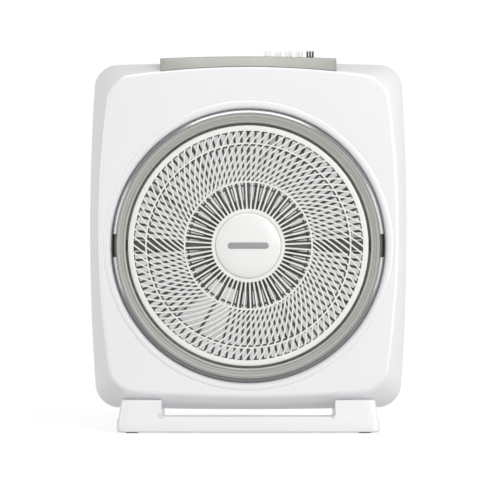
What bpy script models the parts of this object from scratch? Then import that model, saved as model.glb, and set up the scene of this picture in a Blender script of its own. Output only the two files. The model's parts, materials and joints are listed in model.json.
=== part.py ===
"""Box fan on a low stand, with a louver grille that turns slowly in front of the blades.

The fan axis runs along Y. Air leaves towards -Y, the front. The floor is z = 0.
Most pieces are drawn about the fan axis and hang on the empty "fan_axis", so their z is
counted from the axis; the stand and its feet are drawn from the floor.
"""

from collections import namedtuple
from math import asin, atan2, cos, hypot, log, pi, radians, sin, tan

import bmesh
import bpy
from mathutils import Matrix, Vector

# ---- Driving dimensions, in metres ----

# Fits
GAP = 0.0003  # between pieces that touch
RUN = 0.0007  # between pieces that move past each other
SCREW_FIT = 0.0003  # from a screw's shank to its hole
SEAT_FIT = 0.0012  # from the body to its seat in the stand
PANEL_FIT = 0.0006  # from the control panel to the shell below it
MERGE = 1e-6

# Body, sizes counted from the fan axis
BODY_WIDTH = 0.4034  # widest, where the two shells meet
BODY_TOP = 0.2330
BODY_BOTTOM = 0.2085
WAIST = 0.0205  # height of the widest level above the fan axis
FRONT_DEPTH = 0.0630  # front face to the joint of the shells
REAR_DEPTH = 0.0580
JOINT_Y = -0.0030
FRONT_DRAFT = (0.0143, 0.0093, 0.0198)  # how far sides, top and bottom draw in to the front face
REAR_DRAFT = (0.0110, 0.0100, 0.0125)
DRAFT_CURVE = 1.8  # power by which the draft grows away from the joint
FRONT_CORNER, JOINT_CORNER, REAR_CORNER = 0.0245, 0.0270, 0.0250
FRONT_BOWS = (0.868, 1.000, 0.620)  # one over the radius of the sides, the top and the bottom
JOINT_BOWS = (0.353, 0.200, 0.170)
REAR_BOWS = (0.500, 0.400, 0.333)
FACE_EDGE = 0.0030  # eased edge around the front and rear faces
WALL = 0.0025

# Opening, guard ring and duct
DUCT_RADIUS = 0.1570
DUCT_LENGTH = 0.0480
RING_SEAT = 0.0155  # width of the guard ring's seat around the duct
RECESS_RADIUS = DUCT_RADIUS + RING_SEAT
RECESS_DEPTH = 0.0060
LIP_FLARE = 0.0025  # how much the opening widens towards the front face
LIP_RADIUS = RECESS_RADIUS + LIP_FLARE
RING_RISE = 0.0070  # guard ring's crest above the front face
RING_FLANK = 0.0085  # from the crest out to the edge of the seat
RING_CREST_RADIUS = RECESS_RADIUS - RING_FLANK
RING_SKIRT = 0.0160  # how far the skirt reaches behind the front face
RING_WALL = 0.0025
NOTCH_HEIGHT = 0.0290
NOTCH_DEPTH = 0.0060
CROSSBAR_HEIGHT = 0.0127
CROSSBAR_DEPTH = 0.0088

# Louver grille
LOUVER_TO_DUCT = 0.0065
LOUVER_RADIUS = DUCT_RADIUS - LOUVER_TO_DUCT
LOUVER_DEPTH = 0.0055
LOUVER_FORWARD = 0.0035  # grille's front ahead of the body's front face
LOUVER_RIM = 0.0070
INNER_RING_RADIUS = 0.53 * LOUVER_RADIUS
MIDDLE_RING_RADIUS = 0.85 * LOUVER_RADIUS
LOUVER_RING_WIDTH = 0.0024
LOUVER_HUB_RADIUS = 0.0461
OUTER_RIBS = 90
INNER_RIBS = 60
RIB_WIDTH = 0.0020
RIB_LEAN = radians(37.6)  # outer ribs follow a spiral that always leans this much
OUTER_RIB_START = radians(3.57)  # angle of one outer rib where it crosses RIB_START_RADIUS
RIB_START_RADIUS = 0.1000
INNER_RIB_START = radians(2.19)
CAP_BORDER = 0.0056
CAP_RADIUS = LOUVER_HUB_RADIUS - CAP_BORDER
CAP_RISE = 0.0050

# Louver motor
LOUVER_MOTOR_RADIUS = 0.0245
LOUVER_MOTOR_LENGTH = 0.0160
LOUVER_SHAFT_RADIUS = 0.0030
POD_WALL = 0.0025
LOUVER_SHAFT_BITE = 0.0060  # how far the shaft enters the motor
LOUVER_EAR_PLACE = 0.0320  # its screws above and below the axis
LOUVER_EAR_RADIUS = 0.0045
LOUVER_EAR_THICKNESS = 0.0020
LOUVER_POST_RADIUS = 0.0050

# Blades and main motor
BLADE_TO_DUCT = 0.0150
BLADE_RADIUS = DUCT_RADIUS - BLADE_TO_DUCT
BLADE_COUNT = 5
FIRST_BLADE = radians(56)
VANE_SPREAD = (radians(60), radians(68))  # angle that a vane takes up at its root and at its tip
VANE_SWEEP = radians(-16)
VANE_CAMBER = 0.0035
VANE_PITCH_LOSS = 0.22  # share by which a vane flattens towards its tip
BLADE_WIDTH = 0.0310  # along the axis
BLADE_THICKNESS = 0.0022
BLADE_HUB_RADIUS = 0.0360
BLADE_HUB_LENGTH = 0.0340
BLADE_BOSS_WALL = 0.0057
MOTOR_RADIUS = 0.0420
MOTOR_LENGTH = 0.0400
MOTOR_WALL = 0.0015
MOTOR_TO_BLADES = 0.0057
STACK_LENGTH = 0.0124
WINDING_LENGTH = 0.0090
ROTOR_RADIUS = 0.0238
SHAFT_RADIUS = 0.0040
BEARING_WALL = 0.0050
BEARING_RADIUS = SHAFT_RADIUS + BEARING_WALL
BEARING_LENGTH = 0.0070
NUT_RADIUS = 0.0110
NUT_LENGTH = 0.0082
MOTOR_EAR_CIRCLE = MOTOR_RADIUS + 0.0050
MOTOR_EAR_RADIUS = 0.0058
MOTOR_EAR_THICKNESS = 0.0040

# Rear guard
GUARD_SEAT_RADIUS = DUCT_RADIUS + 0.0050
GUARD_SEAT_DEPTH = 0.0055
GUARD_SEAT_LEDGE = 0.0080
GUARD_THICKNESS = 0.0040
GUARD_PLATE_RADIUS = MOTOR_EAR_CIRCLE + 0.0125  # middle plate, which carries the motor
GUARD_RIM_RADIUS = GUARD_SEAT_RADIUS - GUARD_SEAT_LEDGE - 0.0075  # inside of the guard's rim
GUARD_RING_SHARES = (0.21, 0.818)  # place of each ring on the way from the plate to the rim
GUARD_RING_WIDTH = 0.0026
GUARD_RIBS = 40
GUARD_RIB_WIDTH = 0.0022
LABEL_PANEL = (radians(225), radians(255))  # solid part of the guard, for the rating plate

# Control panel and its switch
PANEL_LENGTH = 0.2210
PANEL_TOP = BODY_TOP + 0.0044
PANEL_ARCH = 0.40  # one over the radius of its crown
PANEL_FRONT_SLOPE = 0.0080
PANEL_WALL = 0.0025
PANEL_INSETS = (0.0010, 0.0540)  # front and rear edges, behind the front face
BUTTON_COUNT = 5
BUTTON_FIRST_X = 0.0239
BUTTON_PITCH = 0.0135
BUTTON_WIDTH = 0.0090
BUTTON_LENGTH = 0.0140
BUTTON_RISE = 0.0075
BUTTON_TRAVEL = 0.0040
BUTTON_INSET = 0.0260  # middle of the buttons, behind the front face
STEM_WIDTH = 0.0050
STEM_LENGTH = 0.0080
SWITCH_HEIGHT = 0.0200
SWITCH_TOP = BODY_TOP - 0.0190
SWITCH_FLOOR = 0.0060
SWITCH_MARGIN = 0.0150  # from the end buttons' centres to the block's ends
STEM_BITE = 0.0060  # how far a stem enters the switch
CAPACITOR_SIZE = (0.0360, 0.0200, 0.0240)
CAPACITOR_EAR = 0.0110
CAPACITOR_EAR_THICKNESS = 0.0025

# Stand
STAND_WIDTH = 0.3296
STAND_DEPTH = 0.1610
STAND_BOW = 0.30  # one over the radius of the bowed front and rear edges
STAND_CORNER = 0.0120
PLINTH_HEIGHT = 0.0160
PLINTH_STEP = 0.0015
STAND_HEIGHT = 0.0410
STAND_DRAFT = 0.0045
STAND_GAP_WIDTH = 0.2180
STAND_GAP_CORNER = 0.0060
STAND_BRIDGE_HEIGHT = 0.0210
STAND_BRIDGE_DEPTH = 0.0350  # from the front edge back
UNDER_BODY_GAP = 0.0050
STAND_WALL = 0.0035
FOOT_RADIUS = 0.0080
FOOT_HEIGHT = 0.0037
FOOT_SINK = 0.0022
FOOT_INSET = (0.0190, 0.0190)

# Fasteners: shank radius, head radius, head height
BODY_SCREW = (0.00175, 0.0033, 0.0023)
SMALL_SCREW = (0.00125, 0.0024, 0.0017)
SHELL_SCREW_BITE = 0.0160  # how far each kind enters the piece it holds on to
STAND_SCREW_BITE = 0.0150
LOUVER_SCREW_BITE = 0.0080
SWITCH_SCREW_BITE = 0.0080
CAPACITOR_SCREW_BITE = 0.0080
BOSS_RADIUS = 0.0045
BOSS_ROOT = 0.9  # share of the wall that a boss on it leaves whole
UPPER_SCREW_INSET = (0.0240, 0.0340)  # from the side and the end of the front face
SIDE_SCREW_INSET = 0.0085
LOWER_SCREW_INSET = (0.0370, 0.0270)
STAND_SCREW_X = 0.1340
STAND_SCREW_Y = (-0.0220, 0.0200)
STAND_SCREW_SINK = 0.0120

# Hand grip in the back, and the cord's inlet
GRIP_WIDTH = 0.1100
GRIP_HEIGHT = 0.0260
GRIP_DEPTH = 0.0300
GRIP_BELOW_TOP = 0.0400
INLET_INSET = (0.0457, 0.0660)  # from the left edge and the lower edge of the rear face
INLET_RADIUS = 0.0060
INLET_BORE = 0.0035
INLET_FLANGE = 0.0022

# Facets
SIDE_STEPS = 12
CORNER_STEPS = 3
RING_STEPS = 64
CARRIER_STEPS = 56
MOTOR_STEPS = 20
ROD_STEPS = 8
SCREW_STEPS = 6
VANE_STEPS = 3

# ---- Places worked out from the sizes above ----

FRONT_Y = JOINT_Y - FRONT_DEPTH
REAR_Y = JOINT_Y + REAR_DEPTH
BUTTON_Y = FRONT_Y + BUTTON_INSET
AXIS_HEIGHT = STAND_BRIDGE_HEIGHT + UNDER_BODY_GAP + BODY_BOTTOM
LOUVER_FRONT = FRONT_Y - LOUVER_FORWARD
LOUVER_BACK = LOUVER_FRONT + LOUVER_DEPTH
POD_FRONT = LOUVER_BACK + 3 * RUN
LOUVER_MOTOR_FRONT = POD_FRONT + POD_WALL + GAP
LOUVER_MOTOR_BACK = LOUVER_MOTOR_FRONT + LOUVER_MOTOR_LENGTH
GUARD_FRONT = REAR_Y - GUARD_SEAT_DEPTH + GAP
MOTOR_BACK = GUARD_FRONT - GAP
MOTOR_FRONT = MOTOR_BACK - MOTOR_LENGTH
HUB_BACK = MOTOR_FRONT - MOTOR_TO_BLADES
HUB_FRONT = HUB_BACK - BLADE_HUB_LENGTH
NUT_FRONT = HUB_FRONT - GAP - NUT_LENGTH
SHAFT_FRONT = NUT_FRONT + 0.0020
SHAFT_BORE = SHAFT_RADIUS + SCREW_FIT
BUTTON_XS = [BUTTON_FIRST_X + BUTTON_PITCH * i for i in range(BUTTON_COUNT)]
SHELL_SCREW_SEAT = REAR_Y - BODY_SCREW[2] - 2 * GAP
WELL_FIT = 3 * RUN  # around the switch well in the shell's top
SWITCH_ENDS = (BUTTON_XS[0] - SWITCH_MARGIN, BUTTON_XS[-1] + SWITCH_MARGIN)
SWITCH_SIDES = (
    BUTTON_Y - BUTTON_LENGTH / 2 - 3 * PANEL_WALL / 2,
    BUTTON_Y + BUTTON_LENGTH / 2 + 3 * PANEL_WALL / 2,
)

# ---- Finishes: colour, roughness, metallic ----

WHITE_PLASTIC = ((0.86, 0.86, 0.88), 0.32, 0.0)
LOUVER_PLASTIC = ((0.88, 0.87, 0.84), 0.35, 0.0)
GREY_PLASTIC = ((0.47, 0.47, 0.42), 0.38, 0.0)
DARK_PLASTIC = ((0.06, 0.06, 0.05), 0.45, 0.0)
BLADE_PLASTIC = ((0.55, 0.57, 0.58), 0.20, 0.0)
BLACK_RUBBER = ((0.03, 0.03, 0.03), 0.80, 0.0)
ZINC_STEEL = ((0.62, 0.62, 0.60), 0.35, 1.0)
CORE_STEEL = ((0.28, 0.28, 0.30), 0.50, 1.0)
COPPER = ((0.72, 0.33, 0.14), 0.30, 1.0)

Outline = namedtuple("Outline", "half_width top bottom corner side_bow top_arch bottom_arch waist")


def drafted(draft, corner, bows):
    """Body outline drawn in from the joint of the shells; bows are one over each edge's radius."""
    side, top, bottom = draft
    return Outline(BODY_WIDTH / 2 - side, BODY_TOP - top, BODY_BOTTOM - bottom, corner, *bows, WAIST)


FRONT_OUTLINE = drafted(FRONT_DRAFT, FRONT_CORNER, FRONT_BOWS)
JOINT_OUTLINE = drafted((0, 0, 0), JOINT_CORNER, JOINT_BOWS)
REAR_OUTLINE = drafted(REAR_DRAFT, REAR_CORNER, REAR_BOWS)
INLET_PLACE = (INLET_INSET[0] - REAR_OUTLINE.half_width, INLET_INSET[1] - REAR_OUTLINE.bottom)
SHELL_SCREW_PLACES = [
    (side * (FRONT_OUTLINE.half_width - inset), z)
    for side in (-1, 1)
    for inset, z in (
        (UPPER_SCREW_INSET[0], FRONT_OUTLINE.top - UPPER_SCREW_INSET[1]),
        (SIDE_SCREW_INSET, 0.0),
        (LOWER_SCREW_INSET[0], LOWER_SCREW_INSET[1] - FRONT_OUTLINE.bottom),
    )
]


# ---- Modelling helpers ----


def clear_scene():
    for obj in list(bpy.data.objects):
        bpy.data.objects.remove(obj, do_unlink=True)


def finish_material(name, finish):
    colour, roughness, metallic = finish
    material = bpy.data.materials.new(name + "_finish")
    material.use_nodes = True
    shader = material.node_tree.nodes["Principled BSDF"]
    shader.inputs["Base Color"].default_value = (*colour, 1.0)
    shader.inputs["Roughness"].default_value = roughness
    shader.inputs["Metallic"].default_value = metallic
    material.diffuse_color = (*colour, 1.0)
    return material


def empty(name, location):
    obj = bpy.data.objects.new(name, None)
    obj.location = location
    bpy.context.scene.collection.objects.link(obj)
    return obj


def add_object(name, bm, finish, parent=None, location=(0, 0, 0)):
    """Link a bmesh as an object with its own material, smooth except at sharp edges."""
    bmesh.ops.recalc_face_normals(bm, faces=bm.faces)
    mesh = bpy.data.meshes.new(name)
    bm.to_mesh(mesh)
    bm.free()
    mesh.shade_smooth()
    mesh.set_sharp_from_angle(angle=radians(30))
    mesh.materials.append(finish_material(name, finish))
    obj = bpy.data.objects.new(name, mesh)
    obj.parent = parent
    obj.location = location
    bpy.context.scene.collection.objects.link(obj)
    return obj


def copy_object(source, name, location):
    """Another object on the same mesh, under the same parent."""
    obj = bpy.data.objects.new(name, source.data)
    obj.parent = source.parent
    obj.location = location
    bpy.context.scene.collection.objects.link(obj)
    return obj


def boolean(obj, operation, bm, label):
    """Join the bmesh to the object or cut it away, with a hidden tool object."""
    tool = add_object(f"{obj.name}_{label}", bm, DARK_PLASTIC, obj.parent)
    tool.hide_render = True
    tool.display_type = "WIRE"
    modifier = obj.modifiers.new(label, "BOOLEAN")
    modifier.operation = operation
    modifier.object = tool


def add_box(bm, low, high):
    low, high = Vector(low), Vector(high)
    place = Matrix.Translation((low + high) / 2) @ Matrix.Diagonal((*(high - low), 1))
    return bmesh.ops.create_cube(bm, size=1, matrix=place)["verts"]


def add_cylinder(bm, start, end, radius, steps=ROD_STEPS):
    start, end = Vector(start), Vector(end)
    turn = (end - start).to_track_quat("Z", "Y").to_matrix().to_4x4()
    bmesh.ops.create_cone(
        bm,
        cap_ends=True,
        segments=steps,
        radius1=radius,
        radius2=radius,
        depth=(end - start).length,
        matrix=Matrix.Translation((start + end) / 2) @ turn,
    )


def bevel_edges(bm, edges, width, segments):
    bmesh.ops.bevel(bm, geom=edges, offset=width, segments=segments, profile=0.5, affect="EDGES")


def turned(profile, steps=RING_STEPS):
    """Solid of revolution about the fan axis, from (radius, y) corners.

    A profile that starts and ends on the axis stays open there; any other is closed.
    """
    bm = bmesh.new()
    verts = [bm.verts.new((radius, y, 0)) for radius, y in profile]
    pairs = list(zip(verts, verts[1:]))
    if profile[0][0] > 0:
        pairs.append((verts[-1], verts[0]))
    edges = [bm.edges.new(pair) for pair in pairs]
    bmesh.ops.spin(
        bm,
        geom=verts + edges,
        cent=(0, 0, 0),
        axis=(0, 1, 0),
        angle=2 * pi,
        steps=steps,
        use_merge=True,
    )
    bmesh.ops.remove_doubles(bm, verts=bm.verts, dist=MERGE)
    return bm


def edge_loop(bm, points):
    verts = [bm.verts.new(point) for point in points]
    return verts, [bm.edges.new(pair) for pair in zip(verts, verts[1:] + verts[:1])]


def linked_vert(vert, among):
    ends = (edge.other_vert(vert) for edge in vert.link_edges)
    return next(end for end in ends if end in among)


def add_loft(bm, loops, cyclic=False):
    """Skin over a row of loops with equal counts; unless cyclic, its two ends are capped."""
    first, edges = edge_loop(bm, loops[0])
    verts = first
    for loop in loops[1:] + loops[:1] * cyclic:
        made = bmesh.ops.extrude_edge_only(bm, edges=edges)["geom"]
        fresh = {item for item in made if isinstance(item, bmesh.types.BMVert)}
        verts = [linked_vert(vert, fresh) for vert in verts]
        edges = [bm.edges.get(pair) for pair in zip(verts, verts[1:] + verts[:1])]
        for vert, point in zip(verts, loop):
            vert.co = point
    if cyclic:
        bmesh.ops.remove_doubles(bm, verts=first + verts, dist=MERGE)
    else:
        bm.faces.new(first)
        bm.faces.new(verts)


def loft(loops, cyclic=False):
    bm = bmesh.new()
    add_loft(bm, loops, cyclic)
    return bm


def lattice(rims, windows, front, back):
    """Flat plate between y = front and back, bounded by the rims and pierced by the windows."""
    bm = bmesh.new()
    for corners in rims + windows:
        edge_loop(bm, [(x, front, z) for x, z in corners])
    bmesh.ops.triangle_fill(bm, edges=bm.edges, use_beauty=True, normal=(0, -1, 0))
    raised = bmesh.ops.extrude_face_region(bm, geom=bm.faces)["geom"]
    moved = [item for item in raised if isinstance(item, bmesh.types.BMVert)]
    bmesh.ops.translate(bm, verts=moved, vec=(0, back - front, 0))
    return bm


def polar(radius, angle):
    return radius * cos(angle), radius * sin(angle)


def circle(radius, steps, centre=(0, 0)):
    points = (polar(radius, 2 * pi * i / steps) for i in range(steps))
    return [(centre[0] + x, centre[1] + z) for x, z in points]


# ---- Body outline ----


def blend_outlines(first, second, share):
    return Outline(*(a + (b - a) * share for a, b in zip(first, second)))


def outside_by(outline, x, z, inset):
    """How far a point lies outside an outline that is drawn in by inset."""
    bow = outline.side_bow * (z - outline.waist) ** 2 / 2
    side = abs(x) - outline.half_width + inset + bow
    if z > 0:
        end = z - outline.top + inset + outline.top_arch * x * x / 2
    else:
        end = -z - outline.bottom + inset + outline.bottom_arch * x * x / 2
    corner = max(outline.corner - inset, WALL)
    past_side, past_end = side + corner, end + corner
    return hypot(max(past_side, 0), max(past_end, 0)) + min(max(past_side, past_end), 0) - corner


def outline_radius(outline, angle, inset):
    near, far = 0.0, 2 * (outline.half_width + outline.top)
    while far - near > MERGE / 10:
        middle = (near + far) / 2
        if outside_by(outline, *polar(middle, angle), inset) > 0:
            far = middle
        else:
            near = middle
    return near


def spread(first, last, steps):
    return [first + (last - first) * i / steps for i in range(steps)]


def outline_angles(outline):
    """Directions around an outline, closer together at its corners, the same left and right."""
    upper_start = atan2(outline.top - outline.corner, outline.half_width)
    upper_end = atan2(outline.top, outline.half_width - 1.3 * outline.corner)
    lower_start = atan2(outline.bottom, outline.half_width - 1.3 * outline.corner)
    lower_end = atan2(outline.bottom - outline.corner, outline.half_width)
    stops = [-lower_end, upper_start, upper_end, pi - upper_end, pi - upper_start, pi + lower_end]
    stops += [pi + lower_start, 2 * pi - lower_start, 2 * pi - lower_end]
    angles = []
    for i, (first, last) in enumerate(zip(stops, stops[1:])):
        angles += spread(first, last, CORNER_STEPS if i % 2 else SIDE_STEPS)
    return angles


BODY_ANGLES = outline_angles(blend_outlines(FRONT_OUTLINE, JOINT_OUTLINE, 0.5))


def body_outline(y):
    """The body swells from its front face to the joint of the shells and draws in behind it."""
    if y < JOINT_Y:
        ahead = min((JOINT_Y - y) / FRONT_DEPTH, 1.0)
        return blend_outlines(JOINT_OUTLINE, FRONT_OUTLINE, ahead**DRAFT_CURVE)
    behind = min((y - JOINT_Y) / REAR_DEPTH, 1.0)
    return blend_outlines(JOINT_OUTLINE, REAR_OUTLINE, behind**DRAFT_CURVE)


def body_loop(y, inset=0.0, level=None):
    """Loop around the body at y; level puts the same outline at another y."""
    outline = body_outline(y)
    points = [polar(outline_radius(outline, angle, inset), angle) for angle in BODY_ANGLES]
    return [(x, y if level is None else level, z) for x, z in points]


def round_loop(radius, y):
    points = [polar(radius, angle) for angle in BODY_ANGLES]
    return [(x, y, z) for x, z in points]


def body_top(x, y):
    outline = body_outline(y)
    return outline.top - outline.top_arch * x * x / 2


def body_underside(x, y):
    outline = body_outline(y)
    return outline.bottom_arch * x * x / 2 - outline.bottom


def front_levels():
    """Where the front shell's loops stand, from the joint towards the front face."""
    return [JOINT_Y - FRONT_DEPTH * share for share in (0.40, 0.75)] + [FRONT_Y + 0.8 * FACE_EDGE]


def rear_levels():
    return [JOINT_Y + REAR_DEPTH * share for share in (0.40, 0.75)] + [REAR_Y - 0.8 * FACE_EDGE]


# ---- Screws and bosses ----


def screw_mesh(kind, length):
    """Pan-head screw along +Y: the shank starts at y = 0 and the head lies behind it."""
    shank, head, height = kind
    crown = 0.75 * head
    profile = [(0, height), (crown, height), (head, 0.6 * height), (head, 0)]
    profile += [(shank, 0), (shank, -length), (0, -length)]
    return turned(profile, SCREW_STEPS)


def screw_hole(kind):
    return kind[0] + SCREW_FIT


def standing_screw(name, kind, length, place, parent=None):
    """Screw driven upwards, its head's seat at the given place."""
    bm = screw_mesh(kind, length)
    bmesh.ops.rotate(bm, verts=bm.verts, matrix=Matrix.Rotation(-pi / 2, 3, "X"))
    return add_object(name, bm, ZINC_STEEL, parent, place)


# ---- Shells ----


def build_front_shell(axis):
    joint = JOINT_Y - GAP / 2
    floor = FRONT_Y + RECESS_DEPTH
    duct_end = FRONT_Y + DUCT_LENGTH
    loops = [body_loop(joint)] + [body_loop(y) for y in front_levels()]
    loops += [
        body_loop(FRONT_Y, FACE_EDGE),
        round_loop(LIP_RADIUS, FRONT_Y),
        round_loop(RECESS_RADIUS, FRONT_Y + FACE_EDGE / 2),
        round_loop(RECESS_RADIUS, floor),
        round_loop(DUCT_RADIUS, floor),
        round_loop(DUCT_RADIUS, duct_end),
        round_loop(DUCT_RADIUS + WALL, duct_end),
        round_loop(DUCT_RADIUS + WALL, floor + WALL),
        round_loop(RECESS_RADIUS + WALL, floor + WALL),
        round_loop(RECESS_RADIUS + WALL, FRONT_Y + WALL),
        body_loop(FRONT_Y, FACE_EDGE + WALL / 2, FRONT_Y + WALL),
    ]
    loops += [body_loop(y, WALL) for y in reversed(front_levels()[:-1])] + [body_loop(joint, WALL)]
    shell = add_object("front_shell", loft(loops, cyclic=True), WHITE_PLASTIC, axis)
    boolean(shell, "UNION", front_bosses(), "bosses")
    boolean(shell, "DIFFERENCE", front_shell_holes(), "holes")


def front_bosses():
    bm = bmesh.new()
    for x, z in SHELL_SCREW_PLACES:
        start = (x, FRONT_Y + WALL / 2, z)
        add_cylinder(bm, start, (x, JOINT_Y - 2 * GAP, z), BOSS_RADIUS)
    add_stand_boss(bm, STAND_SCREW_Y[0])
    x, y = capacitor_screw_place()
    start = (x, y, capacitor_ear_top() + GAP)
    add_cylinder(bm, start, (x, y, body_top(x, y) - WALL / 2), BOSS_RADIUS)
    return bm


def add_stand_boss(bm, y):
    bottom = body_underside(STAND_SCREW_X, y)
    for side in (-1, 1):
        x = side * STAND_SCREW_X
        start = (x, y, bottom + BOSS_ROOT * WALL)
        add_cylinder(bm, start, (x, y, bottom + STAND_SCREW_BITE + WALL), BOSS_RADIUS)


def add_stand_pilot(bm, y):
    bottom = body_underside(STAND_SCREW_X, y)
    for side in (-1, 1):
        x = side * STAND_SCREW_X
        tip = (x, y, bottom + STAND_SCREW_BITE + GAP)
        add_cylinder(bm, (x, y, bottom - WALL), tip, screw_hole(BODY_SCREW))


def front_shell_holes():
    bm = bmesh.new()
    for x, z in SHELL_SCREW_PLACES:
        tip = (x, JOINT_Y - SHELL_SCREW_BITE - WALL, z)
        add_cylinder(bm, (x, JOINT_Y + GAP, z), tip, screw_hole(BODY_SCREW))
    add_stand_pilot(bm, STAND_SCREW_Y[0])
    x, y = capacitor_screw_place()
    ear = capacitor_ear_top()
    add_cylinder(bm, (x, y, ear), (x, y, ear + CAPACITOR_SCREW_BITE + GAP), screw_hole(SMALL_SCREW), 8)
    low = (SWITCH_ENDS[0] - WELL_FIT, SWITCH_SIDES[0] - WELL_FIT, SWITCH_TOP - SWITCH_HEIGHT)
    high = (SWITCH_ENDS[1] + WELL_FIT, SWITCH_SIDES[1] + WELL_FIT, PANEL_TOP + WALL)
    add_box(bm, low, high)
    return bm


def build_rear_shell(axis):
    joint = JOINT_Y + GAP / 2
    seat = REAR_Y - GUARD_SEAT_DEPTH
    ledge_radius = GUARD_SEAT_RADIUS - GUARD_SEAT_LEDGE
    loops = [body_loop(joint)] + [body_loop(y) for y in rear_levels()]
    loops += [
        body_loop(REAR_Y, FACE_EDGE),
        round_loop(GUARD_SEAT_RADIUS, REAR_Y),
        round_loop(GUARD_SEAT_RADIUS, seat),
        round_loop(ledge_radius, seat),
        round_loop(ledge_radius, seat - WALL),
        round_loop(GUARD_SEAT_RADIUS + WALL, seat - WALL),
        round_loop(GUARD_SEAT_RADIUS + WALL, REAR_Y - WALL),
        body_loop(REAR_Y, FACE_EDGE + WALL / 2, REAR_Y - WALL),
    ]
    loops += [body_loop(y, WALL) for y in reversed(rear_levels()[:-1])] + [body_loop(joint, WALL)]
    shell = add_object("rear_shell", loft(loops, cyclic=True), WHITE_PLASTIC, axis)
    boolean(shell, "UNION", rear_bosses(), "bosses")
    boolean(shell, "DIFFERENCE", rear_shell_holes(), "holes")


def rear_bosses():
    bm = bmesh.new()
    for x, z in SHELL_SCREW_PLACES:
        start = (x, JOINT_Y + 2 * GAP, z)
        add_cylinder(bm, start, (x, REAR_Y - WALL / 2, z), BOSS_RADIUS)
    add_stand_boss(bm, STAND_SCREW_Y[1])
    add_box(bm, *grip_box(WALL))
    return bm


def grip_box(around):
    """Carrying recess in the upper back; around is the wall outside its hollow."""
    top = REAR_OUTLINE.top - GRIP_BELOW_TOP + GRIP_HEIGHT / 2
    half = GRIP_WIDTH / 2 + around
    back = REAR_Y + WALL if around == 0 else REAR_Y - WALL / 2
    low = (-half, REAR_Y - GRIP_DEPTH - around, top - GRIP_HEIGHT - around)
    return low, (half, back, top + around)


def rear_shell_holes():
    bm = bmesh.new()
    for x, z in SHELL_SCREW_PLACES:
        add_stepped_hole(bm, x, z)
    add_stand_pilot(bm, STAND_SCREW_Y[1])
    hollow = add_box(bm, *grip_box(0))
    edges = {edge for vert in hollow for edge in vert.link_edges if runs_along(edge, 1)}
    bevel_edges(bm, list(edges), GRIP_HEIGHT / 4, 2)
    x, z = INLET_PLACE
    start, end = (x, REAR_Y - 2 * WALL, z), (x, REAR_Y + WALL, z)
    add_cylinder(bm, start, end, INLET_RADIUS + GAP, 16)
    return bm


def add_stepped_hole(bm, x, z):
    """Clearance hole with a sunk seat for a body screw's head, as one turned tool."""
    hole = screw_hole(BODY_SCREW)
    seat = BODY_SCREW[1] + GAP
    front, back = JOINT_Y, REAR_Y + WALL
    step = SHELL_SCREW_SEAT - GAP
    profile = [(0, front), (hole, front), (hole, step), (seat, step), (seat, back), (0, back)]
    tool = turned(profile, ROD_STEPS)
    bmesh.ops.translate(tool, verts=tool.verts, vec=(x, 0, z))
    merge_into(bm, tool)


def merge_into(bm, other):
    """Move every face of another bmesh into bm."""
    scratch = bpy.data.meshes.new("scratch")
    other.to_mesh(scratch)
    other.free()
    bm.from_mesh(scratch)
    bpy.data.meshes.remove(scratch)


def runs_along(edge, direction):
    """True for an edge parallel to the X (0), Y (1) or Z (2) axis."""
    along = edge.verts[0].co - edge.verts[1].co
    return abs(along[direction]) > 0.99 * along.length


def build_shell_screws(axis):
    length = SHELL_SCREW_SEAT - JOINT_Y + SHELL_SCREW_BITE
    places = [(x, SHELL_SCREW_SEAT, z) for x, z in SHELL_SCREW_PLACES]
    first = add_object("shell_screw_1", screw_mesh(BODY_SCREW, length), ZINC_STEEL, axis, places[0])
    for i, place in enumerate(places[1:], start=2):
        copy_object(first, f"shell_screw_{i}", place)


def build_cord_inlet(axis):
    """Rubber grommet in the rear wall, where the mains lead would enter."""
    flange = INLET_RADIUS + INLET_FLANGE
    face = REAR_Y + INLET_FLANGE
    profile = [
        (INLET_BORE, REAR_Y - WALL),
        (INLET_RADIUS, REAR_Y - WALL),
        (INLET_RADIUS, REAR_Y + GAP),
        (flange, REAR_Y + GAP),
        (flange - INLET_FLANGE / 3, face),
        (INLET_BORE, face),
    ]
    x, z = INLET_PLACE
    add_object("cord_inlet", turned(profile, 16), BLACK_RUBBER, axis, (x, 0, z))


# ---- Guard ring with its crossbar ----


def build_louver_carrier(axis):
    """Grey guard ring; its crossbar carries the louver's motor in a pod on the axis."""
    outer = RECESS_RADIUS - RUN
    inner = DUCT_RADIUS - RUN - RING_WALL - GAP
    base = FRONT_Y + RECESS_DEPTH - GAP
    crest = FRONT_Y - RING_RISE
    profile = [
        (outer, base),
        (outer, FRONT_Y - RING_WALL / 3),
        (RING_CREST_RADIUS, crest),
        (inner, crest + RING_WALL),
        (inner, FRONT_Y + RING_SKIRT),
        (inner + RING_WALL, FRONT_Y + RING_SKIRT),
        (inner + RING_WALL, crest + 2 * RING_WALL),
        (RING_CREST_RADIUS - RING_WALL / 2, crest + RING_WALL),
        (outer - RING_WALL, FRONT_Y + RING_WALL / 3),
        (outer - RING_WALL, base),
    ]
    carrier = add_object("louver_carrier", turned(profile, CARRIER_STEPS), GREY_PLASTIC, axis)
    boolean(carrier, "UNION", crossbar(inner + RING_WALL / 2), "crossbar")
    pod = bmesh.new()
    outside = pod_radius() + POD_WALL
    add_cylinder(pod, (0, POD_FRONT - GAP, 0), (0, pod_back(), 0), outside, MOTOR_STEPS)
    boolean(carrier, "UNION", pod, "pod")
    boolean(carrier, "DIFFERENCE", carrier_holes(outer), "holes")


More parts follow.
